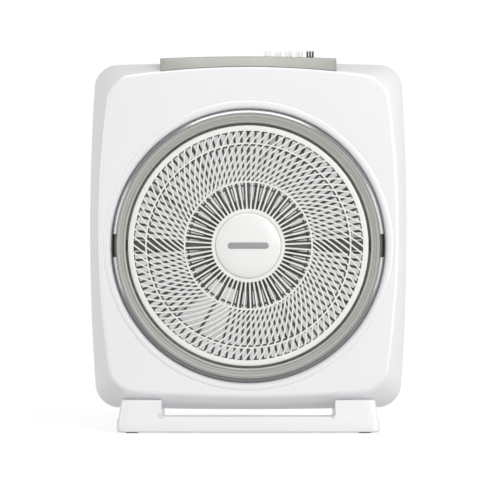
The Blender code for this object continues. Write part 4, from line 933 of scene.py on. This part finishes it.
def louver_rings():
    front, back = LOUVER_FRONT, LOUVER_BACK
    rim = [(RIM_INNER, front + 0.0007), (RIM_INNER + 0.0006, front + 0.0001), (0.1470, front)]
    rim += [(LOUVER_RADIUS - 0.0014, front + 0.0002), (LOUVER_RADIUS - 0.0003, front + 0.0009)]
    rim += [(LOUVER_RADIUS, front + 0.0020), (LOUVER_RADIUS, back), (LOUVER_RADIUS - 0.0018, back)]
    rim += [(LOUVER_RADIUS - 0.0018, back - 0.0020), (RIM_INNER, back - 0.0020)]
    cap_edge = high("hub_cap").x
    hub = [(0.0033, front + 0.0005), (cap_edge - 0.001, front + 0.0005), (cap_edge - 0.001, front + 0.0012)]
    hub += [(cap_edge + 0.0007, front + 0.0012), (cap_edge + 0.0009, front + 0.0002)]
    hub += [(HUB_RADIUS - 0.0006, front + 0.0001), (HUB_RADIUS, front + 0.0008), (HUB_RADIUS, back)]
    hub += [(HUB_RADIUS - 0.0020, back), (HUB_RADIUS - 0.0020, back - 0.0022), (0.0033, back - 0.0022)]
    rings = spun(rim, 192)
    for profile, steps in ((hoop(INNER_RING, 0.0022), 144), (hoop(MIDDLE_RING, 0.0020), 180), (hub, 96)):
        merge_into(rings, spun(profile, steps))
    put_up("louver_rings", rings, [louver_plastic], "louver")


louver_rings()

# %% [markdown]
# The cap is a flat dome. Where a maker would put a name, it carries only a plain satin-grey bar,
# which stands proud by less than half a millimetre.

# %% Hub cap and its blank badge
cap_plastic = moulded("cap plastic", (0.850, 0.850, 0.835), 0.30, 0.985)
badge_plastic = moulded("badge paint", (0.345, 0.345, 0.350), 0.36, 0.92)
BADGE_HALF = (0.0255, 0.0040)
BADGE_RISE = 0.0004


def hub_cap():
    edge, crown, base = high("hub_cap").x, low("hub_cap").y, high("hub_cap").y
    rise = base - crown
    steps = 16
    profile = []
    for i in range(steps + 1):
        share = i / steps * 0.97
        profile.append((edge * share, base - 0.0006 - (rise - 0.0006) * (1 - share**4)))
    profile += [(edge * 0.985, base - 0.0007), (edge, base - 0.0003), (edge, base), (0, base)]
    put_up("hub_dome", spun(profile, 96), [cap_plastic], "louver", ["hub_cap"], 60)


def badge():
    crown = low("hub_cap").y
    corner = BADGE_HALF[1] - 0.0001
    top = crown - BADGE_RISE
    levels = ((0.0, crown + 0.0016), (0.0, top + 0.0003), (-0.0001, top + 0.0001), (-0.0003, top))
    lines = [slot_points((0, 0), BADGE_HALF, corner, grown, y, 8) for grown, y in levels]
    put_up("blank_badge", grown_solid(lines)[0], [badge_plastic], "louver")


hub_cap()
badge()

# %% [markdown]
# ## Blades
#
# Five broad vanes of smoke-tinted, see-through plastic. A vane starts as a flat grid. Each vert
# is moved to its place on the twisted, cambered blade, whose tip has rounded corners. The hub is
# a spun cup.

# %% Blades
BLADE_TIP = 0.1455
HUB_OUT = 0.0360
BLADE_FRONT, BLADE_BACK = low("fan_blade").y, high("fan_blade").y
FIRST_BLADE = radians(56)
VANES = 5


def vane_point(out, across):
    """Place on a vane: out runs from 0 at the hub to 1 at the tip, across from -1 to 1."""
    radius = HUB_OUT - 0.001 + (BLADE_TIP - HUB_OUT + 0.001) * out
    half_angle = radians(36.3) + radians(0.5) * out
    tip_round = max(out - 0.96, 0) / 0.04
    half_angle *= 0.96 + 0.04 * sqrt(max(1 - tip_round**2.4, 0))
    sweep = radians(-16) * out
    angle = FIRST_BLADE + sweep + half_angle * across
    pitch = 0.0155 * (1 - 0.22 * out)
    y = (BLADE_FRONT + BLADE_BACK) / 2 + pitch * across - 0.0035 * (1 - across * across)
    return Vector((radius * cos(angle), y, AXIS.z + radius * sin(angle)))


def vanes():
    bm = bmesh.new()
    bmesh.ops.create_grid(bm, x_segments=22, y_segments=16, size=1)
    for vert in bm.verts:
        vert.co = vane_point((vert.co.x + 1) / 2, vert.co.y)
    bmesh.ops.solidify(bm, geom=bm.faces[:], thickness=0.0018)
    repeat_round(bm, VANES)
    return bm


def blades():
    front, back = BLADE_FRONT + 0.0005, BLADE_BACK
    wall, shaft = 0.0022, 0.0043
    profile = [(shaft, front)] + quarter((HUB_OUT - 0.004, front), (HUB_OUT, front + 0.004), 5)
    profile += [(HUB_OUT, back - 0.0005), (HUB_OUT - 0.0005, back), (HUB_OUT - wall, back)]
    profile += [(HUB_OUT - wall, front + wall), (0.0100, front + wall), (0.0098, front + 0.0230)]
    profile += [(shaft, front + 0.0230)]
    bm = vanes()
    merge_into(bm, spun(profile, 80))
    put_up("blades", bm, [smoke_plastic], "rotor", ["fan_blade"], 50)


blades()

# %% [markdown]
# ## Rear guard
#
# Behind the blades ninety-six fine ribs keep fingers out. Every eighth is a thick spoke that
# carries the motor's plate, a disc with raised rings for stiffness. One sector has no fine ribs:
# that's where the rating label sits, on a plate of its own.

# %% Rear guard
GUARD_FRONT, GUARD_BACK = low("rear_guard").y, high("rear_guard").y
GUARD_RADIUS = high("rear_guard").x
PLATE_RADIUS = 0.0595
GUARD_HOOPS = (0.0778, 0.1307)
GUARD_RIM = 0.1475
GUARD_RIBS, SPOKE_STEP = 96, 8
LABEL_START, LABEL_END = radians(225), radians(254)


def flat_hoop(radius, width, front, back, edge=0.0004):
    half, flat = width / 2, width / 2 - edge
    near = [(-half, front + edge), (-flat, front), (flat, front), (half, front + edge)]
    far = [(half, back - edge), (flat, back), (-flat, back), (-half, back - edge)]
    return [(radius + side, y) for side, y in near + far]


def guard_rib(angle, width, start, end):
    bm = box_mesh(
        (start, GUARD_FRONT + 0.0003, -width / 2), (end, GUARD_BACK - 0.0003, width / 2), width * 0.22, 1
    )
    bmesh.ops.rotate(bm, verts=bm.verts, cent=(0, 0, 0), matrix=Matrix.Rotation(-angle, 3, "Y"))
    bmesh.ops.translate(bm, verts=bm.verts, vec=AXIS)
    return bm


def guard_ribs(bm):
    for i in range(GUARD_RIBS):
        angle = 2 * pi * i / GUARD_RIBS
        spoke = i % SPOKE_STEP == 0
        width = 0.0042 if spoke else 0.0030
        in_label = LABEL_START < angle < LABEL_END and not spoke
        start = GUARD_HOOPS[1] if in_label else PLATE_RADIUS - 0.001
        merge_into(bm, guard_rib(angle, width, start, GUARD_RIM + 0.001))


def rear_guard():
    front, back = GUARD_FRONT, GUARD_BACK
    bm = spun(flat_hoop((GUARD_RADIUS + GUARD_RIM) / 2, GUARD_RADIUS - GUARD_RIM, front, back, 0.0008), 160)
    for radius in GUARD_HOOPS:
        merge_into(bm, spun(flat_hoop(radius, 0.0026, front, back), 144))
    plate = [(0, front), (PLATE_RADIUS, front)]
    plate += [(PLATE_RADIUS, back - 0.0008), (PLATE_RADIUS - 0.0008, back)]
    for radius in (0.0560, 0.0380, 0.0200):
        plate += [(radius, back), (radius - 0.0006, back - 0.0010)]
        plate += [(radius - 0.0022, back - 0.0010), (radius - 0.0028, back)]
    plate.append((0, back))
    merge_into(bm, spun(plate, 96))
    guard_ribs(bm)
    put_up("back_guard", bm, [guard_plastic_and_shade], "housing", ["rear_guard"])


rear_guard()

# %% [markdown]
# The label's plate is one sector of a flat ring: its section is spun through the sector's angle.
# It is a milky film with a faint fibre and one thin printed line, and no text.

# %% Label plate
def label_finish():
    colour = (0.86, 0.86, 0.84)
    finish = Finish("label film", colour, 0.55, Alpha=0.10)
    fibre = finish.noise(1.0, 3.0, finish.stretched((160.0, 900.0, 900.0)))
    radius = from_axis(finish)
    frame_line = abs(radius - 0.0815) < 0.0004
    under = finish.paint((fibre * 1.4 - 0.5).clamped(), darker(colour, 0.93))
    finish.paint(frame_line * 0.6, (0.35, 0.35, 0.35), under)
    finish.feed("Roughness", 0.50 + 0.12 * fibre)
    finish.bump(fibre, 0.00002)
    return finish


def label_plate():
    bm = bmesh.new()
    corners = [(GUARD_HOOPS[0], GUARD_FRONT + 0.0006), (GUARD_HOOPS[1], GUARD_FRONT + 0.0006)]
    corners += [(GUARD_HOOPS[1], GUARD_BACK - 0.0006), (GUARD_HOOPS[0], GUARD_BACK - 0.0006)]
    verts = [bm.verts.new((radius, y, 0)) for radius, y in corners]
    face = bm.faces.new(verts)
    bmesh.ops.spin(
        bm, geom=[*verts, *face.edges, face], cent=(0, 0, 0), axis=(0, 1, 0),
        angle=-(LABEL_END - LABEL_START), steps=24,
    )
    turn = Matrix.Rotation(-LABEL_START, 3, "Y")
    bmesh.ops.rotate(bm, verts=bm.verts, cent=(0, 0, 0), matrix=turn)
    bmesh.ops.translate(bm, verts=bm.verts, vec=AXIS)
    put_up("label_plate", bm, [label_finish()], "housing")


label_plate()

# %% [markdown]
# ## Control panel
#
# The panel is a grey saddle on top of the body: a gentle arch whose front slopes down to the
# face. We grow one closed section from left to right. Its stations lie at the edges of the key
# slots, so the slots are simply faces that are sunk into it.

# %% Control panel
PANEL_LEFT, PANEL_RIGHT = low("top_panel").x, high("top_panel").x
PANEL_FRONT, PANEL_REAR = low("top_panel").y, high("top_panel").y
PANEL_CROWN = high("top_panel").z
PANEL_ARCH = 0.40
PANEL_EDGE = 0.0009
PANEL_SLOPE = 0.0080
KEY_ROOM = 0.0007
SLOT_DEPTH = 0.0045
KEYS = [f"button_{i}" for i in range(1, 6)]
SLOT_YS = (low(KEYS[0]).y - KEY_ROOM, high(KEYS[0]).y + KEY_ROOM)


def panel_line(x):
    top = PANEL_CROWN - PANEL_ARCH * x * x / 2
    seat_levels = [PANEL_REAR + (PANEL_FRONT - PANEL_REAR) * i / 6 for i in range(7)]
    line = []
    for y in seat_levels:
        shape = shape_at(y)
        line.append((x, y, AXIS.z + shape.top - shape.top_arch * x * x / 2 + 0.0006))
    foot = line[-1][2]
    slope_y = PANEL_FRONT + PANEL_SLOPE
    line.append((x, PANEL_FRONT + PANEL_SLOPE * 0.9, foot + (top - foot) * 0.90))
    line += [(x, slope_y - 0.0002, top - 0.0006), (x, slope_y + PANEL_EDGE, top)]
    line += [(x, SLOT_YS[0] - 0.004, top), (x, SLOT_YS[0], top), (x, SLOT_YS[1], top)]
    line += [(x, PANEL_REAR - 0.0045, top), (x, PANEL_REAR - 0.0030, top - 0.0005)]
    return line


def panel_stations():
    stations = [PANEL_LEFT + (PANEL_RIGHT - PANEL_LEFT) * i / 24 for i in range(25)]
    for key in KEYS:
        stations += [low(key).x - KEY_ROOM, high(key).x + KEY_ROOM]
    return sorted(stations)


def in_a_slot(face):
    centre = face.calc_center_median()
    if centre.z < PANEL_CROWN - 0.004 or not SLOT_YS[0] < centre.y < SLOT_YS[1]:
        return False
    return any(low(key).x - KEY_ROOM < centre.x < high(key).x + KEY_ROOM for key in KEYS)


def control_panel():
    bm, end_rows = grown_solid([panel_line(x) for x in panel_stations()])
    ends = [edge for verts in end_rows for edge in row_edges(bm, verts)]
    round_off(bm, ends, PANEL_EDGE / 2, 2)
    bmesh.ops.recalc_face_normals(bm, faces=bm.faces)
    slots = [face for face in bm.faces if in_a_slot(face) and face.normal.z > 0.5]
    print("slot faces:", len(slots))
    sink(bm, slots, (0, 0, -SLOT_DEPTH))
    # Its grey is the ring's plastic made darker: painted shade on the panel.
    put_up("control_panel", bm, [panel_shaded_plastic], "housing", ["top_panel"], 30)


control_panel()

# %% [markdown]
# ## Keys
#
# Each key has three tall fins that run from front to back, so that a finger grips it: four cuts
# mark off the fins, and the three strips are drawn up. The four speed keys are white, and the
# last one, which switches off, is charcoal.

# %% Keys
FIN_WIDTH, FIN_GAP = 0.0022, 0.0012
STEM_HALF, STEM_INSET = 0.0025, 0.0030


def key_cap(name, body, finish):
    first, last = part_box(name)
    shoulder = PANEL_CROWN - 0.0006
    bm = box_mesh((first.x, first.y, shoulder), (last.x, last.y, PANEL_CROWN + 0.0004))
    centre = (first.x + last.x) / 2
    cuts = [side * (FIN_WIDTH / 2 + shift) for side in (-1, 1) for shift in (0.0, FIN_GAP)]
    for cut in cuts:
        bmesh.ops.bisect_plane(bm, geom=everything(bm), plane_co=(centre + cut, 0, 0), plane_no=(1, 0, 0))
    top = [face for face in bm.faces if face.calc_center_median().z > PANEL_CROWN + 0.0003]
    strips = sorted(top, key=lambda face: face.calc_center_median().x)[::2]
    fins = bmesh.ops.extrude_discrete_faces(bm, faces=strips)["faces"]
    rise = last.z - PANEL_CROWN - 0.0004
    bmesh.ops.translate(bm, verts=list({v for face in fins for v in face.verts}), vec=(0, 0, rise))
    rims = {edge for face in fins for edge in face.edges}
    ends = [edge for edge in rims if abs(edge.verts[0].co.x - edge.verts[1].co.x) > FIN_WIDTH / 2]
    round_off(bm, ends, 0.0016, 4)
    tops = [edge for edge in bm.edges if min(v.co.z for v in edge.verts) > PANEL_CROWN + 0.003
            and len(edge.link_faces) == 2 and edge.calc_face_angle() > 1.0]
    round_off(bm, tops, 0.00045, 2)
    stem_start = (centre - STEM_HALF, first.y + STEM_INSET, first.z)
    stem_end = (centre + STEM_HALF, last.y - STEM_INSET, shoulder + 0.001)
    merge_into(bm, box_mesh(stem_start, stem_end))
    number = name.split("_")[1]
    put_up(f"key_cap_{number}", bm, [finish], body, [name], 40)


for index, key in enumerate(KEYS[:-1], start=1):
    key_cap(key, f"key_{index}", white_plastic)
key_cap(KEYS[-1], f"key_{len(KEYS)}", charcoal_plastic)

# %% [markdown]
# ## Stand
#
# A wide, low plinth grows up from the floor and steps in where the uprights start. Each upright
# is one end of a full-length block: a cut takes the rest away, and a mirror copies it to the
# other side.

# %% Stand
STAND_LOW, STAND_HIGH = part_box("stand")
STAND_SHAPE = Outline(STAND_HIGH.x, STAND_HIGH.y, STAND_HIGH.y, 0.0120, 0.0, 0.30, 0.30, 0.0)
STAND_ANGLES = directions(STAND_SHAPE, 30, 10)
PLINTH_TOP, BRIDGE_TOP = 0.0160, 0.0210
STEP_IN = 0.0013
GAP_HALF = 0.1090
STAND_EDGE = 0.0015


def stand_line(z, inset):
    points = []
    for angle in STAND_ANGLES:
        radius = reach(STAND_SHAPE, angle, inset)
        points.append((radius * cos(angle), radius * sin(angle), z))
    return points


def block(levels):
    return grown_solid([stand_line(z, inset) for z, inset in levels])[0]


def cut_by(bm, *planes):
    """Cut a closed block by planes; what lies on a normal's side goes, and the cut is closed."""
    for place, normal in planes:
        bmesh.ops.bisect_plane(
            bm, geom=everything(bm), plane_co=place, plane_no=normal, clear_outer=True
        )
        bmesh.ops.holes_fill(bm, edges=[edge for edge in bm.edges if edge.is_boundary])
    return bm


def both_sides(bm):
    bmesh.ops.mirror(bm, geom=everything(bm), axis="X", merge_dist=-1)
    return bm


def uprights():
    top = STAND_HIGH.z
    draft = 0.0045
    levels = [(PLINTH_TOP, STEP_IN + 0.0002), (top - STAND_EDGE, STEP_IN + draft)]
    for inset, rise in quarter((0.0, 0.0), (STAND_EDGE, STAND_EDGE), 4, hollow=True)[1:]:
        levels.append((top - STAND_EDGE + rise, STEP_IN + draft + inset))
    right = cut_by(block(levels), ((GAP_HALF, 0, 0), (-1, 0, 0)))
    rim = [edge for edge in right.edges if all(abs(v.co.x - GAP_HALF) < 1e-5 for v in edge.verts)]
    upper = [edge for edge in rim if min(v.co.z for v in edge.verts) > top - 0.001]
    round_off(right, upper, 0.0012, 3)
    return both_sides(right)


def plinth_levels():
    levels = [(STAND_LOW.z + rise, inset) for inset, rise in quarter((0.0022, 0.0), (0.0, 0.0022), 5)]
    levels += [(PLINTH_TOP - 0.0010, 0.0), (PLINTH_TOP - 0.0003, 0.0003), (PLINTH_TOP, 0.0010)]
    return levels + [(PLINTH_TOP + 0.0001, STEP_IN)]


def bridge_levels():
    levels = plinth_levels() + [(BRIDGE_TOP - 0.0010, STEP_IN + 0.0004)]
    for inset, rise in quarter((0.0, 0.0), (0.0010, 0.0010), 3, hollow=True)[1:]:
        levels.append((BRIDGE_TOP - 0.0010 + rise, STEP_IN + 0.0004 + inset))
    return levels


# %% [markdown]
# The bridge is only a front rail: behind it the stand is open, so that light comes through under
# the body. A small hollow fillet eases the corner between the rail and each upright.

# %% Rail, fillets and the whole stand
RAIL_DEPTH = 0.0350
RAIL_BACK = RAIL_DEPTH - STAND_HIGH.y


def fillet(side):
    radius = 0.0055
    corner = Vector((side * (GAP_HALF + 0.0004), STAND_LOW.y + 0.0030, BRIDGE_TOP - 0.0004))
    profile = [corner]
    for across, up in quarter((0.0, radius), (radius, 0.0), 6, hollow=True):
        profile.append(corner + Vector((-side * across, 0, up)))
    shift = Vector((0, RAIL_BACK - corner.y, 0))
    return grown_solid([profile, [point + shift for point in profile]])[0]


def stand():
    bm = uprights()
    ends = cut_by(block(plinth_levels()), ((GAP_HALF, 0, 0), (-1, 0, 0)))
    merge_into(bm, both_sides(ends))
    sides = ((GAP_HALF, 0, 0), (1, 0, 0)), ((-GAP_HALF, 0, 0), (-1, 0, 0))
    merge_into(bm, cut_by(block(bridge_levels()), ((0, RAIL_BACK, 0), (0, 1, 0)), *sides))
    for side in (-1, 1):
        merge_into(bm, fillet(side))
    put_up("stand_body", bm, [white_plastic], "housing", ["stand"], 40)


stand()

# %% [markdown]
# ## Studio
#
# The fan stands on a pale floor in a white tent, which is the world itself. A white object is
# shaped only by how evenly it is lit, so the tent is a little brighter from the right and the
# front, and dimmer from straight above and below. What shows behind the fan is white paper.

# %% Tent
class Tent(Finish):
    """The world's background, summed like a finish."""

    def __init__(self, world):
        self.tree = world.node_tree
        self.shader = self.tree.nodes["Background"]


BRIGHT_SIDE = (0.20, -0.97, 0.10)
EVEN, SLOPE, FALL_ABOVE, FALL_BELOW = 0.89, 0.05, 0.40, 0.66


def tent():
    world = bpy.data.worlds.new("tent")
    bpy.context.scene.world = world
    world.use_nodes = True
    sky = Tent(world)
    way = sky.value("ShaderNodeTexCoord", {}, {}, "Generated")
    towards = sky.value("ShaderNodeVectorMath", {"operation": "DOT_PRODUCT"}, {0: way, 1: BRIGHT_SIDE}, 1)
    height = sky.value("ShaderNodeSeparateXYZ", {}, {0: way}, "Z")
    above, below = height.at_least(0.0), (0.0 - height).at_least(0.0)
    light = EVEN + SLOPE * towards - FALL_ABOVE * above * above - FALL_BELOW * below * below
    paper = sky.value("ShaderNodeLightPath", {}, {}, "Is Camera Ray")
    sky.feed("Color", (1.0, 1.0, 1.0, 1.0))
    sky.feed("Strength", light + paper * (1.02 - light))


tent()

# %% [markdown]
# The floor glows a little, as a sheet on a lit table does, so that it stays white around the
# feet. A soft key lamp stands at the upper right. The other lamps only add shine: they draw the
# bright lines on the ring's polished flank.

# %% Floor and lamps
def floor():
    bm = bmesh.new()
    bmesh.ops.create_grid(bm, x_segments=8, y_segments=8, size=6.0)
    mesh = bpy.data.meshes.new("floor")
    bm.to_mesh(mesh)
    bm.free()
    glow = {"Emission_Color": (1, 1, 1, 1), "Emission_Strength": 0.36}
    finish = Finish("pale floor", (0.90, 0.90, 0.90), 0.7, **glow)
    finish.paint(finish.noise(3.0, 2.0) * 0.2, (0.86, 0.86, 0.86))
    mesh.materials.append(finish.material)
    obj = bpy.data.objects.new("floor", mesh)
    bpy.context.scene.collection.objects.link(obj)
    obj.visible_diffuse = False
    obj.visible_glossy = False


def lamp(name, place, size, glow, aim, shine_only=True):
    """A soft rectangular lamp; glow is its brightness beside white paper."""
    light = bpy.data.lights.new(name, "AREA")
    light.shape = "RECTANGLE"
    light.size, light.size_y = size
    light.energy = glow * pi * size[0] * size[1]
    obj = bpy.data.objects.new(name, light)
    obj.location = AXIS + Vector(place)
    obj.rotation_euler = (Vector(aim) - obj.location).to_track_quat("-Z", "Y").to_euler()
    obj.visible_diffuse = not shine_only
    bpy.context.scene.collection.objects.link(obj)


floor()
lamp("key", (1.6, -2.2, 1.0), (1.4, 1.4), 4.6, AXIS, shine_only=False)
lamp("overhead", (0.0, -0.3, 1.4), (1.4, 0.9), 9.0, AXIS)
lamp("left_strip", (-1.6, -0.5, 0.1), (0.8, 1.4), 5.4, AXIS)
lamp("right_strip", (1.6, -0.5, 0.1), (0.8, 1.4), 5.2, AXIS)

# %% [markdown]
# ## Camera
#
# The camera stands straight in front of the fan at the height of its axis. A long lens from a few
# metres away keeps the body's sides from opening up.

# %% Camera
DISTANCE = 3.3
LENS = 193.0
FRAME_SIZE = 492


def camera():
    data = bpy.data.cameras.new("camera")
    data.lens = LENS
    data.sensor_width = 36.0
    data.shift_x = -2.3 / FRAME_SIZE
    data.shift_y = -0.4 / FRAME_SIZE
    obj = bpy.data.objects.new("camera", data)
    obj.location = (AXIS.x, FACE_Y - DISTANCE, AXIS.z)
    obj.rotation_euler = (radians(90), 0, 0)
    bpy.context.scene.collection.objects.link(obj)
    bpy.context.scene.camera = obj


camera()
bpy.context.scene.view_settings.view_transform = "Standard"
